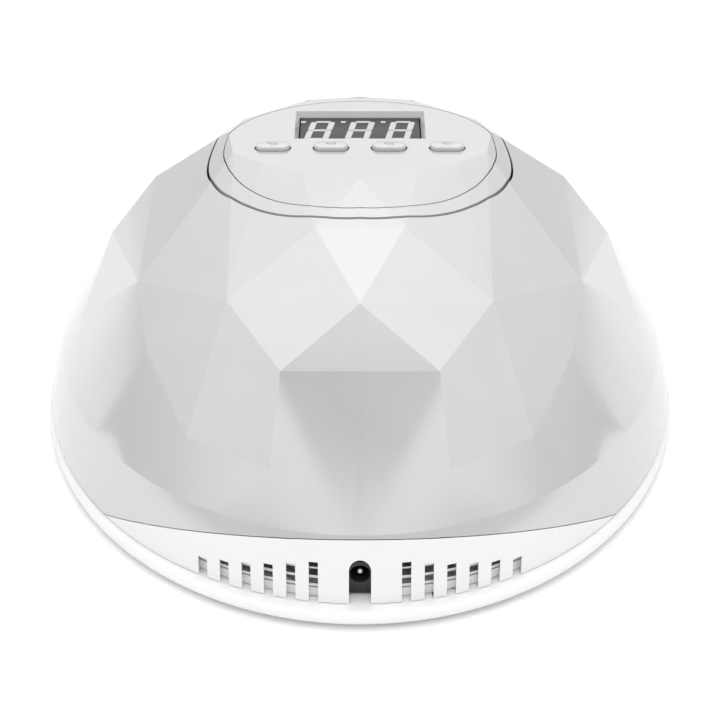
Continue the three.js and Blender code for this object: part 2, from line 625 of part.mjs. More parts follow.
function rearLampBoard() {
  const [across, high] = plate((REAR_BEADS.across - 1) * REAR_BEADS.pitch, 0);
  return box([across, BOARD_THICKNESS, high],
    [0, REAR_BOARD + BOARD_THICKNESS / 2, REAR_BEADS.height - high / 2])
    .add(joined(rearBeadBars(BEAD_RADIUS, REAR_FACE - BEAD_PROUD)));
}

const sensorBoardBottom = TOP_BOARD;

function sensor(x) {
  return post(SENSOR_RADIUS, [x, PLAN_Y + SENSOR_PLACE], CEILING - BEAD_PROUD,
    sensorBoardBottom - GAP);
}

// ---------------------------------------------------------------- screws and leads
// A screw from below: its head's underside at a height, its shank upwards.
function screwUp(at, headBottom, length) {
  return post(SCREW_HEAD_RADIUS, at, headBottom, headBottom + SCREW_HEAD_HEIGHT - GAP)
    .add(post(SCREW_RADIUS, at, headBottom + GAP, headBottom + length));
}

function screwDown(at, seat, length) {
  return post(SCREW_HEAD_RADIUS, at, seat + GAP, seat + SCREW_HEAD_HEIGHT)
    .add(post(SCREW_RADIUS, at, seat + GAP - length, seat + PAST));
}

function lead(points) {
  const curve = new THREE.CatmullRomCurve3(points.map((p) => new THREE.Vector3(...p)));
  const section = new THREE.Shape(ellipse(LEAD_RADIUS, LEAD_RADIUS, [0, 0], LEAD_SIDES)
    .map(([x, y]) => new THREE.Vector2(x, y)));
  return solid(new THREE.ExtrudeGeometry(section, { extrudePath: curve, steps: LEAD_STEPS }));
}

const boardUnderside = boardTop - BOARD_THICKNESS - GAP - LEAD_RADIUS;
const topBoardTop = TOP_BOARD + BOARD_THICKNESS + GAP + LEAD_RADIUS;

function supplyLead() {
  const start = jackBoardMiddle[2] + JACK_BOARD[2] + GAP + LEAD_RADIUS;
  const [forward, up] = SUPPLY_LEAD_RISE;
  return lead([
    [0, jackBoardMiddle[1], start],
    [0, jackBoardMiddle[1] - forward, start + up],
    ...SUPPLY_LEAD_ROUTE.map(([place, height]) => [0, PLAN_Y + place, height]),
    [0, PLAN_Y + SUPPLY_LEAD_END, boardUnderside],
  ]);
}

function sideLead(side) {
  return lead([
    ...SIDE_LEAD_ROUTE.map(([share, drop]) =>
      [side * share * SIDE_BOARD, PLAN_Y, topBoardTop - drop]),
    ...SIDE_LEAD_END.map(([past, above]) =>
      [side * (SIDE_BOARD + past), PLAN_Y, SIDE_BEADS.height + above]),
  ]);
}

function rearLead() {
  const across = REAR_LEAD_ACROSS;
  return lead([
    ...REAR_LEAD_ROUTE.map(([place, drop]) => [across, PLAN_Y + place, topBoardTop - drop]),
    ...REAR_LEAD_FALL.map(([place, height]) => [across, PLAN_Y + place, height]),
    [across, REAR_BOARD + BOARD_THICKNESS + GAP * 2, REAR_BEADS.height + REAR_LEAD_END],
  ]);
}

// ---------------------------------------------------------------- assembly
const lamp = new THREE.Group();
const tray = new THREE.Group();
const housing = new THREE.Group();
lamp.add(tray, housing);

tray.add(piece("base_tray", baseTray(), TRAY_WHITE));
feet.forEach((at, i) => {
  const foot = post(FOOT_RADIUS, at, 0, TRAY_UNDERSIDE + FOOT_POCKET - GAP);
  tray.add(piece(`tray_foot_${i + 1}`, foot, RUBBER));
});
magnets.forEach((at, i) => {
  const top = TRAY_TOP - GAP;
  tray.add(piece(`tray_magnet_${i + 1}`, post(MAGNET_RADIUS, at, top - MAGNET_THICKNESS + GAP, top),
    MAGNET));
  const bottom = FLOOR + GAP;
  housing.add(piece(`housing_magnet_${i + 1}`,
    post(MAGNET_RADIUS, at, bottom, bottom + MAGNET_THICKNESS), MAGNET));
});

housing.add(
  piece("outer_shell", outerShell(), PEARL),
  piece("base_frame", baseFrame(), WHITE),
  piece("inner_hood", innerHood(), HOOD_WHITE),
  piece("control_panel", controlPanel(), PEARL),
  piece("panel_rim", panelRim(), PEARL),
  piece("display_module", displayModule(), DISPLAY_GREY),
  piece("control_board", controlBoard(), BOARD_GREEN),
  piece("dc_jack", dcJack(), BLACK),
  piece("jack_board", box(JACK_BOARD, jackBoardMiddle), BOARD_GREEN),
  piece("lamp_board_top", topLampBoard(), BOARD_WHITE),
  piece("lamp_board_left", sideLampBoard(-1), BOARD_WHITE),
  piece("lamp_board_right", sideLampBoard(1), BOARD_WHITE),
  piece("lamp_board_rear", rearLampBoard(), BOARD_WHITE),
  piece("sensor_board", box(SENSOR_BOARD, [0, PLAN_Y + SENSOR_PLACE, sensorBoardBottom]),
    BOARD_GREEN),
  piece("sensor_emitter", sensor(sensors[0]), BLACK),
  piece("sensor_receiver", sensor(sensors[1]), BLACK),
  piece("supply_lead", supplyLead(), LEAD_RED),
  piece("lamp_lead_left", sideLead(-1), LEAD_RED),
  piece("lamp_lead_right", sideLead(1), LEAD_RED),
  piece("lamp_lead_rear", rearLead(), LEAD_RED),
);
buttonPlaces.forEach((at, i) => {
  housing.add(piece(BUTTON_NAMES[i], button(at), PEARL));
  housing.add(piece(`tact_switch_${i + 1}`, tactSwitch(at), BLACK));
});
housingScrews.forEach((at, i) => housing.add(piece(`housing_screw_${i + 1}`,
  screwUp(at, FLOOR, HOUSING_SCREW_LENGTH), STEEL)));
hoodScrewPlaces.forEach((at, i) => housing.add(piece(`hood_screw_${i + 1}`,
  screwDown(at, lugTop, HOOD_LUG[1] + FRAME_FLANGE), STEEL)));
boardPosts.forEach((at, i) => housing.add(piece(`board_screw_${i + 1}`,
  screwUp(at, boardTop - BOARD_THICKNESS - SCREW_HEAD_HEIGHT, SCREW_HEAD_HEIGHT +
    BOARD_THICKNESS + panelUnderside - PAST * 2 - boardTop), STEEL)));

export default lamp;
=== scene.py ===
"""A curing lamp with a faceted pearl-white dome, a loose tray and a control panel on top.

The dome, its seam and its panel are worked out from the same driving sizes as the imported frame, in
metres: +Z up, the hand cavity opens towards -Y and the power inlet faces +Y. "Behind" means
towards +Y, and a bearing is measured in plan from the rear, in degrees.
"""

import logging
import math
from collections.abc import Callable, Iterator, Sequence
from contextlib import contextmanager
from dataclasses import dataclass, field
from enum import Enum

import bmesh
import bpy
from mathutils import Matrix, Vector


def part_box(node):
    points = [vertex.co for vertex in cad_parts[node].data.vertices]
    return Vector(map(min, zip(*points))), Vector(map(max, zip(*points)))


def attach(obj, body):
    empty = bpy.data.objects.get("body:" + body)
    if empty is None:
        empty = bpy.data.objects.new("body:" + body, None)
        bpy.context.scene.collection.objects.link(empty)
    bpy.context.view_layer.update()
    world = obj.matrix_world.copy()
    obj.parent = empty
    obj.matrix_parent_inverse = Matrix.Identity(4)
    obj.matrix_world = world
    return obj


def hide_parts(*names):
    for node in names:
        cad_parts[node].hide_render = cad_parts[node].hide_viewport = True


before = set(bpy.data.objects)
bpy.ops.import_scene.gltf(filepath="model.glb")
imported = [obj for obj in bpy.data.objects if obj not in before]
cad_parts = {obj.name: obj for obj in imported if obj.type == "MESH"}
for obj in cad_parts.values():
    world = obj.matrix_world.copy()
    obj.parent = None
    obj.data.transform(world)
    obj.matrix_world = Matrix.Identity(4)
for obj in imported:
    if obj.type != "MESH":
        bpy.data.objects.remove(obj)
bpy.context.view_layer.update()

logging.basicConfig(level=logging.INFO, format="%(message)s")
log = logging.getLogger("lamp")

Point = tuple[float, float, float]
Colour = tuple[float, float, float]

GAP = 0.0003  # between pieces that touch
PAST = 0.001  # how far a cutter runs past what it cuts
FAR = 0.2  # beyond the lamp on every side
FEW_SIDES = 60  # of a dome's skirt that is cut away or hardly shows
FLANGE = 0.0026  # the frame's inner flange, which the hood's lugs lie on
SCREW_HOLE = 0.0018  # radius


class Body(str, Enum):
    """The moving bodies of the lamp."""

    TRAY = "tray"
    HOUSING = "housing"


class Slot(str, Enum):
    """The record's material slots."""

    PEARL = "pearl_shell"
    FRAME = "white_frame"
    TRAY = "tray_white"
    HOOD = "hood_white"
    DISPLAY = "display_grey"
    BLACK = "black_moulding"
    SENSOR = "sensor_tint"
    GREEN = "board_green"
    LAMPS = "lamp_board_white"
    LEAD = "lead_jacket"
    RUBBER = "foot_rubber"
    NICKEL = "magnet_nickel"
    STEEL = "screw_steel"


class Axis(Enum):
    """Which way a round bar lies, as the turn that brings it there from upright."""

    X = (0.0, math.pi / 2, 0.0)
    Y = (math.pi / 2, 0.0, 0.0)
    Z = (0.0, 0.0, 0.0)


class Way(Enum):
    """Which way a face looks."""

    UP = (0.0, 0.0, 1.0)
    DOWN = (0.0, 0.0, -1.0)
    REAR = (0.0, 1.0, 0.0)


class Cut(str, Enum):
    """What a boolean does with its tool."""

    AWAY = "DIFFERENCE"
    COMMON = "INTERSECT"
    JOIN = "UNION"


class Pick(str, Enum):
    """What is selected in edit mode."""

    VERTS = "verts"
    EDGES = "edges"
    FACES = "faces"


# ---------------------------------------------------------------- bench tools
def alone(*things: bpy.types.Object) -> None:
    """Selects these objects only, the first of them active.

    Args:
        things: The objects; with none, everything is deselected.
    """
    if bpy.context.mode != "OBJECT":
        bpy.ops.object.mode_set(mode="OBJECT")
    bpy.ops.object.select_all(action="DESELECT")
    for thing in things:
        thing.select_set(True)
    bpy.context.view_layer.objects.active = things[0] if things else None


@contextmanager
def editing(thing: bpy.types.Object, pick: Pick = Pick.FACES) -> Iterator[None]:
    """Opens an object in edit mode with nothing selected, and closes it again.

    Args:
        thing: The mesh object.
        pick: The selection mode to work in.
    """
    alone(thing)
    bpy.ops.object.mode_set(mode="EDIT")
    bpy.ops.mesh.select_mode(type=pick.value[:-1].upper())
    bpy.ops.mesh.select_all(action="DESELECT")
    yield
    bpy.ops.object.mode_set(mode="OBJECT")


def select(thing: bpy.types.Object, pick: Pick, test: Callable[..., bool]) -> None:
    """Selects what passes a test, in edit mode, and nothing else.

    Args:
        thing: The object being edited.
        pick: Whether its corners, edges or faces are tested.
        test: Given one of them, says whether it is wanted.
    """
    bpy.ops.mesh.select_all(action="DESELECT")
    mesh = bmesh.from_edit_mesh(thing.data)
    for element in getattr(mesh, pick.value):
        if test(element):
            element.select_set(True)
    mesh.select_flush_mode()
    bmesh.update_edit_mesh(thing.data)


def facing(way: Way, least: float = 0.9, area: float = 0.0) -> Callable[..., bool]:
    """Makes the test for faces that look one way.

    Args:
        way: The way.
        least: How nearly they look that way, as a cosine.
        area: Only faces at least this large pass.

    Returns:
        The test.
    """
    line = Vector(way.value)
    return lambda face: face.normal.dot(line) > least and face.calc_area() >= area


def round_end(thing: bpy.types.Object, way: Way, width: float, segments: int,
              clamp: bool = False) -> None:
    """Rounds the edges of the faces that look one way, in edit mode.

    Args:
        thing: The object being edited.
        way: The way the faces look.
        width: How wide the rounding is.
        segments: How many steps it has.
        clamp: Whether it stops where it would run into itself.
    """
    select(thing, Pick.FACES, facing(way))
    bpy.ops.mesh.bevel(offset=width, segments=segments, affect="EDGES", clamp_overlap=clamp)


def settled(name: str, thing: bpy.types.Object | None = None) -> bpy.types.Object:
    """Names an object and moves its place, turn and scale into its mesh.

    Args:
        name: The name it gets.
        thing: The object, or the active one.

    Returns:
        The object.
    """
    thing = thing or bpy.context.object
    alone(thing)
    thing.name = thing.data.name = name
    bpy.ops.object.transform_apply(location=True, rotation=True, scale=True)
    return thing


def add_box(name: str, low: Point, high: Point) -> bpy.types.Object:
    """Adds a box between two corners.

    Args:
        name: Its name.
        low: The lowest corner.
        high: The highest corner.

    Returns:
        The box.
    """
    alone()
    middle = [(a + b) / 2 for a, b in zip(low, high)]
    bpy.ops.mesh.primitive_cube_add(size=1, location=middle)
    bpy.context.object.scale = [b - a for a, b in zip(low, high)]
    return settled(name)


def add_bar(name: str, radius: float, length: float, middle: Point, axis: Axis = Axis.Z,
            sides: int = 40) -> bpy.types.Object:
    """Adds a round bar.

    Args:
        name: Its name.
        radius: Its radius.
        length: Its length.
        middle: Its middle.
        axis: The way it lies.
        sides: How many sides it has.

    Returns:
        The bar.
    """
    alone()
    bpy.ops.mesh.primitive_cylinder_add(
        vertices=sides, radius=radius, depth=length, location=middle, rotation=axis.value)
    return settled(name)


def add_pill(name: str, length: float, width: float, bottom: Point, height: float,
             sides: int = 48) -> bpy.types.Object:
    """Adds an upright block with half-round ends, longer along X.

    Args:
        name: Its name.
        length: Its length.
        width: Its width.
        bottom: The middle of its underside.
        height: Its height.
        sides: How many sides both ends have together.

    Returns:
        The block.
    """
    x, y, z = bottom
    pill = add_bar(name, width / 2, height, (x, y, z + height / 2), sides=sides)
    reach = (length - width) / 2
    with editing(pill, Pick.VERTS):
        for way in (-1, 1):
            select(pill, Pick.VERTS, lambda v: (v.co.x - x) * way > GAP / 100)
            bpy.ops.transform.translate(value=(way * reach, 0, 0))
    return pill


def boolean(thing: bpy.types.Object, tool: bpy.types.Object, cut: Cut = Cut.AWAY,
            keep: bool = False) -> bpy.types.Object:
    """Cuts an object with a tool, or joins them.

    Args:
        thing: The object that is changed.
        tool: The object that cuts it, which is used up.
        cut: What is kept.
        keep: Whether the tool stays for another cut.

    Returns:
        The changed object.
    """
    alone(thing)
    modifier = thing.modifiers.new("cut", "BOOLEAN")
    modifier.operation = cut.value
    modifier.solver = "EXACT"
    modifier.object = tool
    bpy.ops.object.modifier_apply(modifier=modifier.name)
    if not keep:
        bpy.data.objects.remove(tool)
    return thing


def eased(thing: bpy.types.Object, width: float, segments: int = 2,
          angle: float = 50.0) -> bpy.types.Object:
    """Rounds an object's edges.

    Args:
        thing: The object.
        width: How wide the rounding is.
        segments: How many steps it has.
        angle: Only edges sharper than this, in degrees, are rounded.

    Returns:
        The object.
    """
    alone(thing)
    modifier = thing.modifiers.new("ease", "BEVEL")
    modifier.width = width
    modifier.segments = segments
    modifier.limit_method = "ANGLE"
    modifier.angle_limit = math.radians(angle)
    modifier.miter_outer = "MITER_ARC"
    bpy.ops.object.modifier_apply(modifier=modifier.name)
    return thing


def together(name: str, things: Sequence[bpy.types.Object]) -> bpy.types.Object:
    """Joins objects into one mesh.

    Args:
        name: The name of the whole.
        things: The objects.

    Returns:
        The joined object.
    """
    alone(*things)
    if len(things) > 1:
        bpy.ops.object.join()
    return settled(name)


def copied(thing: bpy.types.Object, name: str, move: Point, turn: float = 0.0,
           about: str = "Z") -> bpy.types.Object:
    """Copies an object with a mesh of its own.

    Args:
        thing: The pattern.
        name: The copy's name.
        move: How far the copy is moved.
        turn: How far it is turned about the origin before that, in radians.
        about: The axis it turns about.

    Returns:
        The copy.
    """
    copy = thing.copy()
    copy.data = thing.data.copy()
    copy.name = copy.data.name = name
    bpy.context.scene.collection.objects.link(copy)
    copy.data.transform(Matrix.Translation(move) @ Matrix.Rotation(turn, 4, about))
    return copy


def smooth(thing: bpy.types.Object, angle: float = 35.0) -> bpy.types.Object:
    """Shades an object smooth, with its sharper edges kept.

    Args:
        thing: The object.
        angle: The sharpest edge that is smoothed, in degrees.

    Returns:
        The object.
    """
    alone(thing)
    bpy.ops.object.shade_smooth_by_angle(angle=math.radians(angle))
    return thing


def spread(count: int, pitch: float, centre: float = 0.0) -> list[float]:
    """Places evenly spread about a centre.

    Args:
        count: How many.
        pitch: How far apart.
        centre: Their middle.

    Returns:
        The places, from low to high.
    """
    return [centre + (i - (count - 1) / 2) * pitch for i in range(count)]


def hull(name: str, points: Sequence[Point]) -> bpy.types.Object:
    """Wraps points in a closed convex skin.

    Args:
        name: Its name.
        points: The points.

    Returns:
        The solid.
    """
    mesh = bpy.data.meshes.new(name)
    mesh.from_pydata(points, [], [])
    thing = bpy.data.objects.new(name, mesh)
    bpy.context.scene.collection.objects.link(thing)
    with editing(thing, Pick.VERTS):
        bpy.ops.mesh.select_all(action="SELECT")
        bpy.ops.mesh.convex_hull(join_triangles=False)
        bpy.ops.mesh.select_all(action="SELECT")
        bpy.ops.mesh.normals_make_consistent(inside=False)
    return thing


# ---------------------------------------------------------------- shader groups
class Group:
    """A shader node group that is built once and placed in many materials."""

    def __init__(self, name: str, inputs: dict[str, str], outputs: dict[str, str]) -> None:
        """Starts an empty group.

        Args:
            name: Its name.
            inputs: Socket names and their short types.
            outputs: Socket names and their short types.
        """
        self.tree = bpy.data.node_groups.new(name, "ShaderNodeTree")
        for way, sockets in (("INPUT", inputs), ("OUTPUT", outputs)):
            for label, kind in sockets.items():
                self.tree.interface.new_socket(
                    name=label, in_out=way, socket_type=f"NodeSocket{kind}")
        self.source = self.tree.nodes.new("NodeGroupInput")
        self.sink = self.tree.nodes.new("NodeGroupOutput")

    def node(self, kind: str, **settings: object) -> bpy.types.Node:
        """Adds a node and sets its properties.

        Args:
            kind: The node's type without its ShaderNode prefix.
            settings: Properties to set on it.

        Returns:
            The node.
        """
        made = self.tree.nodes.new(f"ShaderNode{kind}")
        for label, value in settings.items():
            setattr(made, label, value)
        return made

    def link(self, out: bpy.types.NodeSocket, into: bpy.types.NodeSocket) -> None:
        """Joins two sockets."""
        self.tree.links.new(out, into)


def drift_group() -> bpy.types.NodeTree:
    """Builds the group for slow changes of tone and gloss over a moulding.

    Returns:
        The group, which gives a colour between two tones and a mask from 0 to 1.
    """
    made = Group("tone_drift", {"Vector": "Vector", "Scale": "Float", "Tone A": "Color",
                                "Tone B": "Color"}, {"Colour": "Color", "Mask": "Float"})
    noise = made.node("TexNoise")
    noise.inputs["Detail"].default_value = 3.0
    noise.inputs["Roughness"].default_value = 0.55
    made.link(made.source.outputs["Vector"], noise.inputs["Vector"])
    made.link(made.source.outputs["Scale"], noise.inputs["Scale"])
    span = made.node("MapRange", interpolation_type="SMOOTHSTEP")
    span.inputs["From Min"].default_value = 0.35
    span.inputs["From Max"].default_value = 0.65
    made.link(noise.outputs["Fac"], span.inputs["Value"])
    blend = made.node("Mix", data_type="RGBA")
    made.link(span.outputs["Result"], blend.inputs["Factor"])
    made.link(made.source.outputs["Tone A"], blend.inputs["A"])
    made.link(made.source.outputs["Tone B"], blend.inputs["B"])
    made.link(blend.outputs["Result"], made.sink.inputs["Colour"])
    made.link(span.outputs["Result"], made.sink.inputs["Mask"])
    return made.tree


def grain_group() -> bpy.types.NodeTree:
    """Builds the group for the fine texture of a moulded, printed or plated surface.

    Returns:
        The group, which gives a height made of a fine grain and a slow waviness.
    """
    made = Group("surface_grain", {"Vector": "Vector", "Grain Scale": "Float",
                                   "Wave Scale": "Float", "Wave Share": "Float"},
                 {"Height": "Float"})
    fine = made.node("TexNoise")
    fine.inputs["Detail"].default_value = 2.0
    slow = made.node("TexNoise")
    slow.inputs["Detail"].default_value = 1.0
    for noise, label in ((fine, "Grain Scale"), (slow, "Wave Scale")):
        made.link(made.source.outputs["Vector"], noise.inputs["Vector"])
        made.link(made.source.outputs[label], noise.inputs["Scale"])
    blend = made.node("Mix", data_type="FLOAT")
    made.link(made.source.outputs["Wave Share"], blend.inputs["Factor"])
    made.link(fine.outputs["Fac"], blend.inputs["A"])
    made.link(slow.outputs["Fac"], blend.inputs["B"])
    made.link(blend.outputs["Result"], made.sink.inputs["Height"])
    return made.tree


def flake_group() -> bpy.types.NodeTree:
    """Builds the group for the tiny mica flakes in a pearl coat.

    Returns:
        The group, which tints a colour flake by flake.
    """
    made = Group("pearl_flake", {"Vector": "Vector", "Scale": "Float", "Colour": "Color",
                                 "Amount": "Float"}, {"Colour": "Color"})
    cells = made.node("TexVoronoi")
    made.link(made.source.outputs["Vector"], cells.inputs["Vector"])
    made.link(made.source.outputs["Scale"], cells.inputs["Scale"])
    blend = made.node("Mix", data_type="RGBA", blend_type="SOFT_LIGHT")
    made.link(made.source.outputs["Amount"], blend.inputs["Factor"])
    made.link(made.source.outputs["Colour"], blend.inputs["A"])
    made.link(cells.outputs["Color"], blend.inputs["B"])
    made.link(blend.outputs["Result"], made.sink.inputs["Colour"])
    return made.tree


class Groups:
    """The shared node groups, each built when it is first asked for."""

    _made: dict[str, bpy.types.NodeTree] = {}

    @classmethod
    def get(cls, build: Callable[[], bpy.types.NodeTree]) -> bpy.types.NodeTree:
        """Gives the group that a function builds, built once.

        Args:
            build: The function.

        Returns:
            The group.
        """
        if build.__name__ not in cls._made:
            cls._made[build.__name__] = build()
        return cls._made[build.__name__]


# ---------------------------------------------------------------- finishes
@dataclass(frozen=True)
class Finish:
    """A surface finish, from its tones down to its grain."""

    name: str
    slot: Slot
    tone: Colour
    second_tone: Colour
    roughness: float = 0.4
    roughness_drift: float = 0.04
    drift_scale: float = 22.0
    metallic: float = 0.0
    coat: float = 0.0
    coat_roughness: float = 0.05
    transmission: float = 0.0
    ior: float = 1.5
    grain_scale: float = 1800.0
    wave_scale: float = 60.0
    wave_share: float = 0.5
    bump_distance: float = 0.00002
    bump_strength: float = 0.3
    flake_scale: float = 5000.0
    flake_amount: float = 0.0

    def material(self) -> bpy.types.Material:
        """Builds the material, or gives the one already built.

        Returns:
            The material.
        """
        if self.name in bpy.data.materials:
            return bpy.data.materials[self.name]
        material = bpy.data.materials.new(self.name)
        material.use_nodes = True
        tree = material.node_tree
        shader = tree.nodes["Principled BSDF"]
        shader.inputs["Metallic"].default_value = self.metallic
        shader.inputs["Coat Weight"].default_value = self.coat
        shader.inputs["Coat Roughness"].default_value = self.coat_roughness
        shader.inputs["Transmission Weight"].default_value = self.transmission
        shader.inputs["IOR"].default_value = self.ior
        where = tree.nodes.new("ShaderNodeTexCoord").outputs["Object"]
        self._tones(tree, shader, where)
        self._surface(tree, shader, where)
        return material

    def _placed(self, tree: bpy.types.NodeTree, build: Callable[[], bpy.types.NodeTree],
                where: bpy.types.NodeSocket, **values: object) -> bpy.types.Node:
        """Places a shared group in the material.

        Args:
            tree: The material's nodes.
            build: The function that builds the group.
            where: The coordinates that it reads.
            values: Its inputs, their names with _ for a space.

        Returns:
            The group's node.
        """
        node = tree.nodes.new("ShaderNodeGroup")
        node.node_tree = Groups.get(build)
        for label, value in values.items():
            node.inputs[label.replace("_", " ")].default_value = value
        tree.links.new(where, node.inputs["Vector"])
        return node

    def _tones(self, tree: bpy.types.NodeTree, shader: bpy.types.Node,
               where: bpy.types.NodeSocket) -> None:
        """Gives the shader its colour and its gloss.

        Args:
            tree: The material's nodes.
            shader: The shader.
            where: The coordinates that it reads.
        """
        drift = self._placed(tree, drift_group, where, Scale=self.drift_scale,
                             Tone_A=(*self.tone, 1.0), Tone_B=(*self.second_tone, 1.0))
        colour = drift.outputs["Colour"]
        if self.flake_amount:
            flake = self._placed(tree, flake_group, where, Scale=self.flake_scale,
                                 Amount=self.flake_amount)
            tree.links.new(colour, flake.inputs["Colour"])
            colour = flake.outputs["Colour"]
        tree.links.new(colour, shader.inputs["Base Color"])
        gloss = tree.nodes.new("ShaderNodeMapRange")
        gloss.inputs["To Min"].default_value = self.roughness - self.roughness_drift
        gloss.inputs["To Max"].default_value = self.roughness + self.roughness_drift
        tree.links.new(drift.outputs["Mask"], gloss.inputs["Value"])
        tree.links.new(gloss.outputs["Result"], shader.inputs["Roughness"])

    def _surface(self, tree: bpy.types.NodeTree, shader: bpy.types.Node,
                 where: bpy.types.NodeSocket) -> None:
        """Gives the shader its grain and waviness.

        Args:
            tree: The material's nodes.
            shader: The shader.
            where: The coordinates that it reads.
        """
        grain = self._placed(tree, grain_group, where, Grain_Scale=self.grain_scale,
                             Wave_Scale=self.wave_scale, Wave_Share=self.wave_share)
        bump = tree.nodes.new("ShaderNodeBump")
        bump.inputs["Strength"].default_value = self.bump_strength
        bump.inputs["Distance"].default_value = self.bump_distance
        tree.links.new(grain.outputs["Height"], bump.inputs["Height"])
        tree.links.new(bump.outputs["Normal"], shader.inputs["Normal"])


PEARL = Finish("pearl_gloss", Slot.PEARL, (0.595, 0.595, 0.595), (0.615, 0.613, 0.61), 0.18, 0.02,
               metallic=0.4, coat=0.5, coat_roughness=0.05, wave_scale=28, wave_share=0.9,
               bump_distance=0.00012, bump_strength=0.2, flake_amount=0.03)
FRAME_WHITE = Finish("frame_satin", Slot.FRAME, (0.80, 0.80, 0.795), (0.82, 0.82, 0.81), 0.38)
TRAY_WHITE = Finish("tray_satin", Slot.TRAY, (0.83, 0.83, 0.825), (0.85, 0.85, 0.84), 0.4)
HOOD_WHITE = Finish("hood_gloss", Slot.HOOD, (0.82, 0.82, 0.82), (0.85, 0.85, 0.85), 0.16,
                    coat=0.3, wave_scale=35, wave_share=0.8, bump_distance=0.00008)
DISPLAY_FACE = Finish("display_face", Slot.DISPLAY, (0.030, 0.030, 0.032), (0.036, 0.036, 0.038),
                      0.32, drift_scale=60)
SEGMENT = Finish("display_segment", Slot.DISPLAY, (0.56, 0.56, 0.55), (0.60, 0.60, 0.59), 0.35,
                 drift_scale=90)
LABEL_INK = Finish("label_ink", Slot.PEARL, (0.30, 0.30, 0.30), (0.34, 0.34, 0.34), 0.5,
                   drift_scale=300)
BLACK = Finish("black_nylon", Slot.BLACK, (0.012, 0.012, 0.013), (0.018, 0.018, 0.018), 0.42,
               grain_scale=2600, bump_distance=0.00004)
SENSOR = Finish("tinted_lens", Slot.SENSOR, (0.012, 0.006, 0.016), (0.018, 0.010, 0.022), 0.12,
                coat=0.5)
GREEN = Finish("solder_mask", Slot.GREEN, (0.010, 0.105, 0.040), (0.016, 0.130, 0.052), 0.3,
               drift_scale=120, coat=0.4)
LAMP_WHITE = Finish("lamp_board", Slot.LAMPS, (0.72, 0.73, 0.71), (0.77, 0.78, 0.76), 0.35,
                    drift_scale=90, coat=0.2)
LENS = Finish("bead_lens", Slot.LAMPS, (0.93, 0.92, 0.86), (0.96, 0.95, 0.90), 0.06, 0.02,
              transmission=0.85, ior=1.46, drift_scale=400)
CHIP = Finish("bead_chip", Slot.LAMPS, (0.42, 0.36, 0.12), (0.55, 0.47, 0.18), 0.3,
              drift_scale=900)
JACKET = Finish("lead_jacket", Slot.LEAD, (0.33, 0.016, 0.012), (0.40, 0.022, 0.016), 0.42,
                drift_scale=150)
RUBBER = Finish("foot_rubber", Slot.RUBBER, (0.22, 0.22, 0.22), (0.27, 0.27, 0.27), 0.75,
                drift_scale=200, grain_scale=3500, bump_distance=0.00006)
NICKEL = Finish("nickel_plate", Slot.NICKEL, (0.58, 0.58, 0.59), (0.66, 0.66, 0.66), 0.22,
                metallic=1.0, drift_scale=150)
STEEL = Finish("zinc_plate", Slot.STEEL, (0.50, 0.51, 0.52), (0.60, 0.60, 0.61), 0.32,
               metallic=1.0, drift_scale=260)


def dress(thing: bpy.types.Object, finish: Finish) -> bpy.types.Object:
    """Gives an object one finish.

    Args:
        thing: The object.
        finish: Its finish.

    Returns:
        The object.
    """
    thing.data.materials.clear()
    thing.data.materials.append(finish.material())
    return thing


def fitted(thing: bpy.types.Object, finish: Finish, *nodes: str,
           body: str = Body.HOUSING.value) -> None:
    """Dresses a piece and makes it ride on its body and stand for the frame's nodes.

    Args:
        thing: The piece.
        finish: Its finish, which names its slot.
        nodes: The nodes that it stands for.
        body: The body that it moves with.
    """
    dress(thing, finish)
    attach(thing, body)
    if nodes:
        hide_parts(*nodes)
    log.info("%s: %d faces on %s", thing.name, len(thing.data.polygons), body)


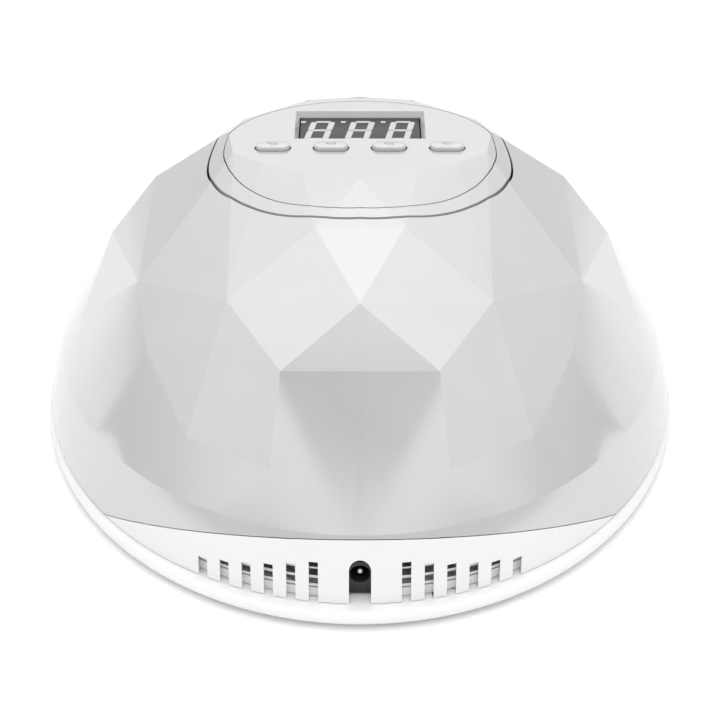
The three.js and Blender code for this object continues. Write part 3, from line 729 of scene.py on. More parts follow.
# ---------------------------------------------------------------- the dome's form
@dataclass(frozen=True)
class DomeForm:
    """The dome: two half ellipses in plan, a superellipse in height, facets above a skirt."""

    half_width: float = 0.103
    rear_reach: float = 0.126
    front_reach: float = 0.096
    apex: float = 0.1007  # where the smooth dome would close above the deck
    base: float = 0.005
    rise_power: float = 1.54
    width_power: float = 1.9
    deck: float = 0.095
    facet_end: float = 0.025  # facets above, smooth skirt below
    floor: float = 0.0058  # lowest level of the housing
    skirt_rings: int = 8
    sides: int = 180
    # facet corners on both sides, each [bearing, height, how far it stands out in per cent]
    corners: tuple[Point, ...] = (
        (0, 0.0873, -1), (16.5, 0.0867, 0), (0, 0.0746, 1.2), (34, 0.071, 3),
        (16.8, 0.0603, 1), (62.5, 0.0625, 1.5), (49, 0.0523, 0.3), (16, 0.0386, 0),
        (33.5, 0.039, -1.5), (48, 0.033, 0), (77, 0.04, 0), (92, 0.056, 1), (99, 0.0723, 3.5),
        (100, 0.0455, 0), (122, 0.04, 0), (131, 0.0523, 0.3), (125, 0.0625, 0), (142, 0.033, 0),
        (146.5, 0.039, -1), (164, 0.0386, 0), (163, 0.0605, -0.5), (146, 0.071, 1.2),
        (180, 0.0745, 1), (163.5, 0.0867, 0), (180, 0.0873, -1),
    )
    # deck corners on both sides, each [bearing, share of the base outline]
    deck_corners: tuple[tuple[float, float], ...] = (
        (0, 0.312), (31.5, 0.318), (53, 0.364), (66, 0.41), (84, 0.4), (97, 0.36),
        (140, 0.262), (180, 0.229),
    )
    seam_rear: float = 0.024
    seam_slope: float = 0.5
    # the least bends that stay crisp, in degrees
    crisp_facets: float = 0.5
    crisp_uprights: float = 6.0
    crisp_skirt: float = 8.0
    crisp_line: float = 0.3  # across the line between facets and skirt
    upright: float = 0.05  # how little an upright face may look up

    @property
    def plan_y(self) -> float:
        """The plan centre, which leaves the footprint centred."""
        return (self.front_reach - self.rear_reach) / 2

    def plan(self, bearing: float, share: float, inset: float = 0.0) -> tuple[float, float]:
        """A point of the plan outline.

        Args:
            bearing: From the rear, in degrees.
            share: Share of the outline.
            inset: How far inside the surface.

        Returns:
            Its X and Y.
        """
        turn = math.radians(bearing)
        reach = (self.rear_reach if math.cos(turn) >= 0 else self.front_reach) - inset
        return ((self.half_width - inset) * share * math.sin(turn),
                self.plan_y + reach * share * math.cos(turn))

    def share(self, height: float, inset: float = 0.0) -> float:
        """How much of the base outline the smooth dome still has at a height."""
        rise = max(0.0, (height - self.base) / (self.apex - inset - self.base))
        return (1 - rise ** self.rise_power) ** (1 / self.width_power)

    def at(self, bearing: float, height: float, inset: float = 0.0, out: float = 0.0) -> Point:
        """A point of the dome.

        Args:
            bearing: From the rear, in degrees.
            height: Above the table.
            inset: How far inside the surface.
            out: How far it stands out, in per cent of its reach.

        Returns:
            The point.
        """
        return (*self.plan(bearing, self.share(height, inset) * (1 + out / 100), inset), height)

    def solid(self, name: str, inset: float = 0.0, bottom: float | None = None,
              sides: int | None = None) -> bpy.types.Object:
        """Makes the whole dome as one convex solid.

        Args:
            name: Its name.
            inset: How far inside the surface.
            bottom: Its underside, or the housing's floor.
            sides: How many sides its skirt has, or the form's own.

        Returns:
            The solid.
        """
        bottom = self.floor if bottom is None else bottom
        sides = sides or self.sides
        points = [self.at(turn, height, inset, out) for bearing, height, out in self.corners
                  for turn in {bearing, -bearing}]
        points += [(*self.plan(turn, share, inset), self.deck - inset)
                   for bearing, share in self.deck_corners for turn in {bearing, -bearing}]
        for ring in range(self.skirt_rings + 1):
            height = self.facet_end + (bottom - self.facet_end) * ring / self.skirt_rings
            points += [self.at(360 * i / sides, height, inset) for i in range(sides)]
        return hull(name, points)

    def outline(self, name: str, inset: float, low: float, high: float) -> bpy.types.Object:
        """Makes an upright prism of the base outline.

        Args:
            name: Its name.
            inset: How far inside the outline.
            low: Its underside.
            high: Its top.

        Returns:
            The prism.
        """
        return hull(name, [(*self.plan(360 * i / self.sides, 1, inset), z)
                           for z in (low, high) for i in range(self.sides)])

    def cut_at_seam(self, thing: bpy.types.Object, shift: float, above: bool) -> None:
        """Keeps what is above or below the seam plane.

        Args:
            thing: The solid.
            shift: How far the plane is raised.
            above: Whether the upper part is kept.
        """
        rear = self.plan_y + self.rear_reach * self.share(self.seam_rear)
        with editing(thing):
            bpy.ops.mesh.select_all(action="SELECT")
            bpy.ops.mesh.bisect(
                plane_co=(0, rear, self.seam_rear + shift), plane_no=(0, -self.seam_slope, 1),
                use_fill=True, clear_inner=above, clear_outer=not above)

    def crease(self, thing: bpy.types.Object) -> bpy.types.Object:
        """Shades a dome piece: crisp facets, a crisp line under them and a smooth skirt.

        Args:
            thing: The piece.

        Returns:
            The piece.
        """
        line = self.facet_end + PAST / 10

        def is_sharp(edge: bmesh.types.BMEdge) -> bool:
            """Says whether an edge stays crisp.

            Args:
                edge: The edge.

            Returns:
                Whether it does.
            """
            if len(edge.link_faces) != 2:
                return True
            bend = math.degrees(edge.calc_face_angle(0.0))
            spans = [[v.co.z for v in face.verts] for face in edge.link_faces]
            if max(min(span) for span in spans) < line:
                across = (max(spans[0]) > line) != (max(spans[1]) > line)
                return bend > self.crisp_skirt or (across and bend > self.crisp_line)
            upright = all(abs(face.normal.z) < self.upright for face in edge.link_faces)
            return bend > (self.crisp_uprights if upright else self.crisp_facets)

        alone(thing)
        bpy.ops.object.shade_smooth()
        with editing(thing, Pick.EDGES):
            select(thing, Pick.EDGES, is_sharp)
            bpy.ops.mesh.mark_sharp()
        return thing


DOME = DomeForm()


@dataclass(frozen=True)
class Cavity:
    """The hand cavity: arches along its depth, each [place, half width, height]."""

    arches: tuple[Point, ...] = (
        (-0.060, 0.072, 0.057), (-0.030, 0.074, 0.058), (0.010, 0.073, 0.058),
        (0.052, 0.062, 0.052), (0.080, 0.044, 0.040))
    power: float = 3.5
    steps: int = 22
    wall: float = 0.002  # of the hood round it
    tray_top: float = 0.0055
    tray_lip: float = 0.005

    def solid(self, name: str, grow: float) -> bpy.types.Object:
        """Makes the cavity as a convex solid that runs on past the lamp's floor and front.

        Args:
            name: Its name.
            grow: How far it is grown outwards.

        Returns:
            The solid.
        """
        _, first_half, first_height = self.arches[0]
        last, last_half, last_height = self.arches[-1]
        front = DOME.plan_y - DOME.front_reach - self.tray_lip
        rows = [(front, first_half, first_height)]
        rows += [(DOME.plan_y + place, half, height) for place, half, height in self.arches]
        rows.append((DOME.plan_y + last + grow, last_half, last_height))
        points: list[Point] = []
        for y, half, height in rows:
            for i in range(2 * self.steps + 1):
                turn = math.pi * i / (2 * self.steps)
                across = abs(math.cos(turn)) ** (2 / self.power)
                rise = math.sin(turn) ** (2 / self.power)
                points.append((math.copysign((half + grow) * across, math.cos(turn)), y,
                               self.tray_top + (height + grow) * rise))
            points += [(side * (half + grow), y, self.tray_top - PAST) for side in (-1, 1)]
        return hull(name, points)

    @property
    def ceiling(self) -> float:
        """The inner face of the hood's top."""
        return self.tray_top + self.arches[1][2]

    @property
    def side(self) -> float:
        """The inner face of the hood's sides."""
        return self.arches[1][1]

    @property
    def rear(self) -> float:
        """The inner face of the hood's rear."""
        return DOME.plan_y + self.arches[-1][0]


CAVITY = Cavity()


@dataclass(frozen=True)
class PanelPlan:
    """The control panel's plan: ellipses about a centre behind the plan centre."""

    centre: float = 0.015
    half: tuple[float, float] = (0.042, 0.0337)
    rim: tuple[float, float] = (0.0046, 0.0028)  # at the sides, at the ends
    groove: float = 0.0007
    rim_depth: float = 0.006
    ledge: float = 0.0026
    wall: float = 0.0022
    well_wall: float = 0.002
    well_ledge: float = 0.004
    display_recess: float = 0.0019  # of the display's face below the deck
    sides: int = 144

    def prism(self, name: str, grow: float, rim: bool = False) -> bpy.types.Object:
        """Makes an upright elliptical prism through the top of the dome.

        Args:
            name: Its name.
            grow: How far it stands outside its outline.
            rim: Whether that is the rim's outer face, not the seam of panel and rim.

        Returns:
            The prism.
        """
        half = [size + width * rim + grow for size, width in zip(self.half, self.rim)]
        low, high = DOME.facet_end, DOME.apex
        prism = add_bar(name, 1.0, high - low, (0, 0, (low + high) / 2), sides=self.sides)
        with editing(prism):
            bpy.ops.mesh.select_all(action="SELECT")
            bpy.ops.transform.resize(value=(*half, 1))
            bpy.ops.transform.translate(value=(0, DOME.plan_y + self.centre, 0))
        return prism


PANEL = PanelPlan()


@dataclass(frozen=True)
class Magnets:
    """The magnets that hold the tray, face to face in the frame and the tray."""

    bearings: tuple[float, ...] = (62, 118, 242, 298)
    share: float = 0.885  # of the base outline, as for the frame's screws
    radius: float = 0.0043


MAGNETS = Magnets()


# ---------------------------------------------------------------- housing
@dataclass(frozen=True)
class Shell:
    """The faceted outer shell, its well for the panel and its mould line."""

    wall: float = 0.0024
    mould_half_width: float = 0.00013
    mould_height: float = 0.00009
    mould_span: tuple[float, float] = (0.031, 0.0742)

    def build(self) -> None:
        """Makes the shell and fits it to the housing."""
        shell = DOME.solid("outer_shell")
        boolean(shell, self._mould_line(), Cut.JOIN)
        DOME.cut_at_seam(shell, 0.0, above=True)
        boolean(shell, DOME.solid("inside", self.wall, DOME.floor - PAST, FEW_SIDES))
        boolean(shell, PANEL.prism("opening", PANEL.groove, rim=True))
        boolean(shell, self._well(), Cut.JOIN)
        boolean(shell, CAVITY.solid("hand", CAVITY.wall + GAP))
        eased(shell, 0.00022, segments=2, angle=55)
        fitted(DOME.crease(shell), PEARL, "outer_shell")

    def _mould_line(self) -> bpy.types.Object:
        """Makes the fine ridge where the mould's halves meet at the rear.

        Returns:
            The ridge.
        """
        low, high = self.mould_span
        ridge = DOME.solid("mould_line", -self.mould_height)
        half = self.mould_half_width
        return boolean(ridge, add_box("strip", (-half, 0, low), (half, FAR, high)), Cut.COMMON)

    def _well(self) -> bpy.types.Object:
        """Makes the ring that the rim stands in, with its ledge.

        Returns:
            The ring.
        """
        floor = PANEL.rim_depth + GAP
        well = DOME.solid("well", self.wall / 2, sides=FEW_SIDES)
        outside = PANEL.prism("well_outside", PANEL.groove + PANEL.well_wall, rim=True)
        boolean(well, outside, Cut.COMMON)
        boolean(well, DOME.solid("well_under", floor + PANEL.well_wall, sides=FEW_SIDES))
        room = PANEL.prism("well_room", PANEL.groove, rim=True)
        boolean(room, DOME.solid("well_floor", floor, sides=FEW_SIDES))
        boolean(well, room)
        return boolean(well, PANEL.prism("well_middle", -PANEL.well_ledge, rim=True))


@dataclass(frozen=True)
class BaseFrame:
    """The white frame under the shell, with its flange, vents and inlet slot."""

    wall: float = 0.0026
    flange_inset: float = 0.003
    flange_width: float = 0.017
    vents: int = 6
    vent_first: float = 0.013
    vent_pitch: float = 0.00635
    vent_width: float = 0.0026
    vent_top: float = 0.0174
    vent_fall: float = 0.0012
    opening: tuple[float, float] = (0.06, 0.14)  # Y span of the vents' cutters
    slot_width: float = 0.0062
    slot_top: float = 0.0185
    jack_room: tuple[float, float, float] = (0.0096, 0.0146, 0.0117)
    magnet_depth: float = 0.0026
    boss_radius: float = 0.0065
    boss_height: float = 0.005
    screw_bearings: tuple[float, ...] = (44, 92, 268, 316)
    head_radius: float = 0.0031
    head_depth: float = 0.0018

    def build(self) -> None:
        """Makes the frame and fits it to the housing."""
        top = DOME.floor + FLANGE
        base = DOME.solid("base_frame")
        DOME.cut_at_seam(base, -GAP, above=False)
        boolean(base, DOME.solid("inside", self.wall, top))
        boolean(base, DOME.outline("hole", self.flange_inset + self.flange_width,
                                   DOME.floor - PAST, top + PAST))
        boolean(base, self._bosses(), Cut.JOIN)
        boolean(base, CAVITY.solid("hand", CAVITY.wall + GAP))
        boolean(base, self._vents())
        boolean(base, self._inlet())
        boolean(base, self._pockets())
        eased(base, 0.00025, segments=2, angle=50)
        fitted(DOME.crease(base), FRAME_WHITE, "base_frame")

    def _bosses(self) -> bpy.types.Object:
        """Makes the round seats of the magnets, cut to the frame's outline.

        Returns:
            The seats.
        """
        low = DOME.floor + GAP
        middle = (low + DOME.floor + self.boss_height) / 2
        seats = [add_bar("boss", self.boss_radius, self.boss_height - GAP,
                         (*DOME.plan(b, MAGNETS.share), middle)) for b in MAGNETS.bearings]
        trim = DOME.solid("trim", self.flange_inset, sides=FEW_SIDES)
        return boolean(together("bosses", seats), trim, Cut.COMMON)

    def _pockets(self) -> bpy.types.Object:
        """Makes the cutters for the magnets and the countersunk screws.

        Returns:
            The cutters as one object.
        """
        low = DOME.floor - PAST
        tools = []
        for radius, depth, bearings in (
                (MAGNETS.radius, self.magnet_depth, MAGNETS.bearings),
                (SCREW_HOLE, FLANGE + PAST, self.screw_bearings),
                (self.head_radius, self.head_depth, self.screw_bearings)):
            tools += [add_bar("pocket", radius, depth + PAST,
                              (*DOME.plan(b, MAGNETS.share), low + (depth + PAST) / 2))
                      for b in bearings]
        return together("pockets", tools)

    def _vents(self) -> bpy.types.Object:
        """Makes the cutters for the vents, only as deep as the band.

        Returns:
            The cutters as one object.
        """
        slots = []
        near, far = self.opening
        half = self.vent_width / 2
        for i in range(self.vents):
            for side in (-1, 1):
                x = side * (self.vent_first + i * self.vent_pitch)
                slots.append(add_box("vent", (x - half, near, DOME.floor - PAST),
                                     (x + half, far, self.vent_top - i * self.vent_fall)))
        band = DOME.solid("band", self.wall, DOME.floor - PAST * 2)
        return boolean(together("vents", slots), band)

    def _inlet(self) -> bpy.types.Object:
        """Makes the cutter for the arched inlet slot and the jack's room.

        Returns:
            The cutter.
        """
        face, far = jack_face(), self.opening[1]
        width, depth, height = self.jack_room
        radius = self.slot_width / 2
        axis = self.slot_top - radius
        low = DOME.floor - PAST
        parts = [
            add_box("slot", (-radius, face - depth / 2, low), (radius, far, axis)),
            add_bar("arch", radius, far - face + depth / 2,
                    (0, (far + face - depth / 2) / 2, axis), Axis.Y, 48),
            add_box("room", (-width / 2, face - depth + GAP, low),
                    (width / 2, face + GAP, DOME.floor + height)),
        ]
        whole = parts[0]
        for part in parts[1:]:
            boolean(whole, part, Cut.JOIN)
        return whole


def jack_face() -> float:
    """The jack's face, from its node's box."""
    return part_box("dc_jack")[1].y


@dataclass(frozen=True)
class PanelParts:
    """The control panel, the rim round it and the display behind its window."""

    window_half: tuple[float, float] = (0.01915, 0.0098)
    window_bevel: tuple[float, float] = (0.0012, 0.0007)  # at the sides, at the ends
    button_size: tuple[float, float] = (0.0104, 0.0046)
    button_clearance: float = 0.00045
    button_pitch: float = 0.01775
    button_place: float = 0.0174
    buttons: int = 4

    @property
    def button_places(self) -> list[tuple[float, float]]:
        """The middles of the buttons."""
        return [(x, DOME.plan_y + self.button_place) for x in spread(self.buttons, self.button_pitch)]

    def build(self) -> None:
        """Makes the panel and the rim and fits them to the housing."""
        panel = DOME.solid("control_panel", sides=FEW_SIDES)
        boolean(panel, PANEL.prism("edge", -GAP), Cut.COMMON)
        boolean(panel, DOME.solid("under", PANEL.wall, DOME.floor - PAST, FEW_SIDES))
        length, width = (size + 2 * self.button_clearance for size in self.button_size)
        for at in self.button_places:
            boolean(panel, add_pill("hole", length, width, (*at, DOME.facet_end),
                                    DOME.apex - DOME.facet_end))
        boolean(panel, self._window())
        eased(panel, 0.0003, segments=2, angle=50)
        fitted(DOME.crease(panel), PEARL, "control_panel")

        rim = DOME.solid("panel_rim", sides=FEW_SIDES)
        boolean(rim, PANEL.prism("edge", 0.0, rim=True), Cut.COMMON)
        middle = PANEL.prism("middle", 0.0)
        ledge = DOME.solid("ledge", PANEL.wall + GAP, sides=FEW_SIDES)
        boolean(ledge, PANEL.prism("ledge_edge", GAP), Cut.COMMON)
        boolean(rim, middle)
        boolean(rim, ledge, Cut.JOIN)
        boolean(rim, PANEL.prism("bore", -PANEL.ledge))
        boolean(rim, DOME.solid("under", PANEL.rim_depth, DOME.floor - PAST, FEW_SIDES))
        eased(rim, 0.00035, segments=3, angle=50)
        fitted(DOME.crease(rim), PEARL, "panel_rim")

    def _window(self) -> bpy.types.Object:
        """Makes the cutter for the window, which widens above the display's face.

        Returns:
            The cutter.
        """
        face = DOME.deck - PANEL.display_recess

        def level(share: float, height: float) -> list[Point]:
            """Gives the window's corners at a height.

            Args:
                share: How much of the bevel they stand out.
                height: Their height.

            Returns:
                The corners.
            """
            x, y = (half + share * bevel for half, bevel in
                    zip(self.window_half, self.window_bevel))
            return [(sx * x, DOME.plan_y + sy * y, height) for sx in (-1, 1) for sy in (-1, 1)]

        past = 1 + PAST / PANEL.display_recess
        upper = hull("window", level(0, face) + level(past, DOME.deck + PAST))
        low = DOME.deck - PANEL.wall - PAST
        lower = hull("window_low", level(0, low) + level(0, face + PAST / 10))
        return boolean(upper, lower, Cut.JOIN)


@dataclass(frozen=True)
class Display:
    """A three-digit seven-segment display with all its segments unlit."""

    size: tuple[float, float, float] = (0.0377, 0.019, 0.008)
    digits: int = 3
    pitch: float = 0.01265
    height: float = 0.0142
    width: float = 0.0076
    bars: tuple[float, float] = (0.00125, 0.0019)  # widths of the flat and the upright ones
    corner: float = 0.22  # share of the bar cut off each segment's corners
    between: float = 0.0003
    overlap: float = 0.0009  # how far the flat ones reach in between the upright ones
    slant: float = 9.0
    dot_size: float = 0.0016
    dot_place: tuple[float, float] = (0.0053, -0.0064)
    lift: float = 0.00006

    def build(self) -> None:
        """Makes the display's body and its segments and fits them."""
        x, y, z = self.size
        face = DOME.deck - PANEL.display_recess
        body = add_box("display_module", (-x / 2, DOME.plan_y - y / 2, face - z),
                       (x / 2, DOME.plan_y + y / 2, face - self.lift))
        eased(body, 0.0003, segments=2)
        fitted(smooth(body), DISPLAY_FACE, "display_module")
        fitted(smooth(together("display_segments", self._segments(face))), SEGMENT)

    def _segment(self, length: float, upright: bool, middle: Point) -> bpy.types.Object:
        """Makes one blunt-ended segment: a block with its corners cut off.

        Args:
            length: From end to end.
            upright: Whether it stands along Y.
            middle: Its middle.

        Returns:
            The segment.
        """
        bar = self.bars[upright]
        x, y = (bar / 2, length / 2) if upright else (length / 2, bar / 2)
        segment = add_box("segment", (-x, -y, -self.lift), (x, y, self.lift))
        with editing(segment, Pick.EDGES):
            select(segment, Pick.EDGES, lambda e: abs((e.verts[0].co - e.verts[1].co).z) > self.lift)
            bpy.ops.mesh.bevel(offset=bar * self.corner, segments=1, affect="EDGES")
        segment.data.transform(Matrix.Translation(middle))
        return segment

    def _digit(self, x: float, face: float) -> list[bpy.types.Object]:
        """Makes one digit's seven segments and its dot, slanted.

        Args:
            x: The digit's middle.
            face: The height of the display's face.

        Returns:
            The segments.
        """
        flat_bar, upright_bar = self.bars
        half_width = (self.width - upright_bar) / 2
        half_height = (self.height - flat_bar) / 2
        flat = self.width - 2 * upright_bar + self.overlap
        tall = half_height - self.between
        parts = [self._segment(flat, False, (0, y, 0)) for y in (-half_height, 0, half_height)]
        parts += [self._segment(tall, True, (sx * half_width, sy * half_height / 2, 0))
                  for sx in (-1, 1) for sy in (-1, 1)]
        lean = Matrix.Identity(4)
        lean[0][1] = math.tan(math.radians(self.slant))
        for part in parts:
            part.data.transform(lean)
        parts.append(self._segment(self.dot_size, False, (*self.dot_place, 0)))
        for part in parts:
            part.data.transform(Matrix.Translation((x, DOME.plan_y, face - self.lift)))
        return parts

    def _segments(self, face: float) -> list[bpy.types.Object]:
        """Makes the segments of all digits."""
        return [part for x in spread(self.digits, self.pitch) for part in self._digit(x, face)]


@dataclass(frozen=True)
class Buttons:
    """The four push buttons, alike but for their printed times."""

    times: tuple[str, ...] = ("10s", "30s", "60s", "99s")
    panel: PanelParts = field(default_factory=PanelParts)
    proud: float = 0.0015
    round_over: float = 0.0007
    crown: float = 0.00012
    shoulder: float = 0.15  # share of the width that slopes up to the crown
    top_face: float = 1e-5  # the cap's flat top is larger than this
    flange: float = 0.0008
    flange_thickness: float = 0.001
    flange_drop: float = 0.0006
    stem_radius: float = 0.0016
    letter_size: float = 0.00238
    ink: float = 0.00003

    def build(self) -> None:
        """Makes the buttons and their labels and fits each to its own body."""
        for text, at in zip(self.times, self.panel.button_places):
            name = f"button_{text}"
            fitted(self._button(name, at), PEARL, name, body=name)
            fitted(self._label(text, at), LABEL_INK, body=name)

    def _button(self, name: str, at: tuple[float, float]) -> bpy.types.Object:
        """Makes one button: a crowned cap on a flange with a stem under it.

        Args:
            name: Its name.
            at: Its middle.

        Returns:
            The button.
        """
        length, width = self.panel.button_size
        under = DOME.deck - PANEL.wall - self.flange_drop
        top = DOME.deck + self.proud
        cap = add_pill("cap", length, width, (*at, under - GAP), top - self.crown - under + GAP)
        with editing(cap):
            round_end(cap, Way.UP, self.round_over, 5)
            select(cap, Pick.FACES, facing(Way.UP, 0.99, self.top_face))
            bpy.ops.mesh.inset(thickness=width * self.shoulder)
            bpy.ops.transform.translate(value=(0, 0, self.crown))
        flange = add_pill("flange", length + 2 * self.flange, width + 2 * self.flange,
                          (*at, under - self.flange_thickness), self.flange_thickness)
        eased(flange, 0.00015, segments=1)
        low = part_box(name)[0].z
        stem = add_bar("stem", self.stem_radius, under - low, (*at, (under + low) / 2), sides=24)
        boolean(cap, flange, Cut.JOIN)
        boolean(cap, stem, Cut.JOIN)
        return smooth(settled(name, cap), 38)

    def _label(self, text: str, at: tuple[float, float]) -> bpy.types.Object:
        """Makes the printed time on a button's cap, read from the front.

        Args:
            text: What it says.
            at: The cap's middle.

        Returns:
            The label.
        """
        alone()
        bpy.ops.object.text_add(location=(*at, DOME.deck + self.proud))
        label = bpy.context.object
        label.data.body = text
        label.data.size = self.letter_size
        label.data.align_x = label.data.align_y = "CENTER"
        label.data.extrude = self.ink
        bpy.ops.object.convert(target="MESH")
        return settled(f"label_{text}")


@dataclass(frozen=True)
class Inlet:
    """The barrel jack behind the inlet slot."""

    size: tuple[float, float, float] = (0.009, 0.014, 0.011)
    axis_height: float = 0.0129
    bore_radius: float = 0.0029
    bore_depth: float = 0.009
    pin_radius: float = 0.00105
    pin_recess: float = 0.0008
    pin_rounding: float = 0.8  # share of its radius

    def build(self) -> None:
        """Makes the jack's moulding, its sleeve and its pin and fits them."""
        face = jack_face()
        x, depth, height = self.size
        low = DOME.floor + GAP
        block = add_box("dc_jack", (-x / 2, face - depth, low), (x / 2, face, low + height))
        boolean(block, add_bar("bore", self.bore_radius, self.bore_depth + PAST,
                               (0, face - (self.bore_depth - PAST) / 2, self.axis_height), Axis.Y))
        eased(block, 0.0002, segments=2)
        fitted(smooth(block), BLACK, "dc_jack")
        length = self.bore_depth - self.pin_recess
        middle = face - self.pin_recess - length / 2 - PAST / 20
        pin = add_bar("jack_pin", self.pin_radius, length, (0, middle, self.axis_height), Axis.Y, 32)
        with editing(pin):
            round_end(pin, Way.REAR, self.pin_radius * self.pin_rounding, 5)
        fitted(smooth(pin, 40), NICKEL)


# ---------------------------------------------------------------- hood and lamps
@dataclass(frozen=True)
class Lamps:
    """The lamp beads in the hood's ceiling, sides and rear, and the boards that carry them."""

    radius: float = 0.0024
    clearance: float = 0.0003
    proud: float = 0.0012
    board: float = 0.0016
    top_count: tuple[int, int] = (4, 4)
    top_pitch: float = 0.024
    top_centre: float = 0.004
    side_count: int = 4
    side_pitch: float = 0.021
    side_centre: float = 0.002
    side_height: float = 0.028
    rear_count: int = 4
    rear_pitch: float = 0.018
    rear_height: float = 0.025
    chip: tuple[float, float] = (0.0019, 0.0003)
    chip_level: float = -0.0018
    bezel: float = 0.0005
    lens_rounding: float = 0.7  # share of its radius
    drill: float = 0.02  # length of the cutter of a bead's hole

    @property
    def top_places(self) -> list[tuple[float, float]]:
        """The middles of the ceiling's beads."""
        across, along = self.top_count
        return [(x, y) for x in spread(across, self.top_pitch)
                for y in spread(along, self.top_pitch, DOME.plan_y + self.top_centre)]

    @property
    def side_places(self) -> list[float]:
        """The places of a side's beads along Y."""
        return spread(self.side_count, self.side_pitch, DOME.plan_y + self.side_centre)

    def placed(self) -> dict[str, list[tuple[Point, float, str]]]:
        """Where each board's beads sit: the face's point, then the turn and its axis.

        Returns:
            The beads of each board, by its name.
        """
        back = self.proud
        return {
            "lamp_board_top": [((x, y, CAVITY.ceiling - back), math.pi, "X")
                               for x, y in self.top_places],
            "lamp_board_left": [((-CAVITY.side + back, y, self.side_height), math.pi / 2, "Y")
                                for y in self.side_places],
            "lamp_board_right": [((CAVITY.side - back, y, self.side_height), -math.pi / 2, "Y")
                                 for y in self.side_places],
            "lamp_board_rear": [((x, CAVITY.rear - back, self.rear_height), math.pi / 2, "X")
                                for x in spread(self.rear_count, self.rear_pitch)],
        }

    def holes(self) -> bpy.types.Object:
        """Makes the cutters for all the bead holes.

        Returns:
            The cutters as one object.
        """
        pattern = add_bar("hole", self.radius + self.clearance, self.drill, (0, 0, 0), sides=36)
        tools = [copied(pattern, "hole", point, turn, about)
                 for beads in self.placed().values() for point, turn, about in beads]
        bpy.data.objects.remove(pattern)
        return together("holes", tools)

    def _bezel(self) -> bpy.types.Object:
        """Makes the pattern of a bead's white ring, its tip at the origin, facing up.

        Returns:
            The pattern.
        """
        length = self.proud + CAVITY.wall + GAP
        ring = add_bar("bezel", self.radius, length, (0, 0, -length / 2 - self.bezel), sides=28)
        with editing(ring):
            select(ring, Pick.FACES, facing(Way.UP))
            bpy.ops.mesh.inset(thickness=self.bezel)
            bpy.ops.transform.translate(value=(0, 0, -self.bezel))
        return smooth(ring)

    def _lens(self) -> bpy.types.Object:
        """Makes the pattern of a bead's domed lens, its tip at the origin, facing up.

        Returns:
            The pattern.
        """
        radius = self.radius - self.bezel - GAP / 6
        lens = add_bar("lens", radius, self.bezel, (0, 0, -self.bezel * 1.5 + GAP / 10), sides=28)
        with editing(lens):
            round_end(lens, Way.UP, radius * self.lens_rounding, 5, clamp=True)
        low = min(v.co.z for v in lens.data.vertices)
        high = max(v.co.z for v in lens.data.vertices)
        stretch = (-low) / (high - low)
        lens.data.transform(Matrix.Translation((0, 0, low)) @ Matrix.Diagonal((1, 1, stretch, 1))
                            @ Matrix.Translation((0, 0, -low)))
        return smooth(lens, 60)

    def build(self) -> None:
        """Makes each board with its bezels, its chips and its lenses and fits them."""
        bezel, lens = self._bezel(), self._lens()
        side, thick = self.chip
        chip = add_box("chip", (-side / 2, -side / 2, self.chip_level),
                       (side / 2, side / 2, self.chip_level + thick))
        for name, beads in self.placed().items():
            low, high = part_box(name)
            plate = self._plate(name, low, high)
            rings = [copied(bezel, "ring", *bead) for bead in beads]
            fitted(together(name, [plate, *rings]), LAMP_WHITE, name)
            for label, pattern, finish in (("lenses", lens, LENS), ("chips", chip, CHIP)):
                group = [copied(pattern, label, *bead) for bead in beads]
                fitted(together(name.replace("board", label), group), finish)
        for pattern in (bezel, lens, chip):
            bpy.data.objects.remove(pattern)

    def _plate(self, name: str, low: Vector, high: Vector) -> bpy.types.Object:
        """Makes a lamp board's plate on the far side of its node's box.

        Args:
            name: The board's name, which says where it lies.
            low: The node's lowest corner.
            high: The node's highest corner.

        Returns:
            The plate.
        """
        low, high = Vector(low), Vector(high)
        if name.endswith("top"):
            low.z = high.z - self.board
        elif name.endswith("left"):
            high.x = low.x + self.board
        elif name.endswith("right"):
            low.x = high.x - self.board
        else:
            low.y = high.y - self.board
        plate = add_box("plate", tuple(low), tuple(high))
        return eased(plate, 0.0002, segments=1)


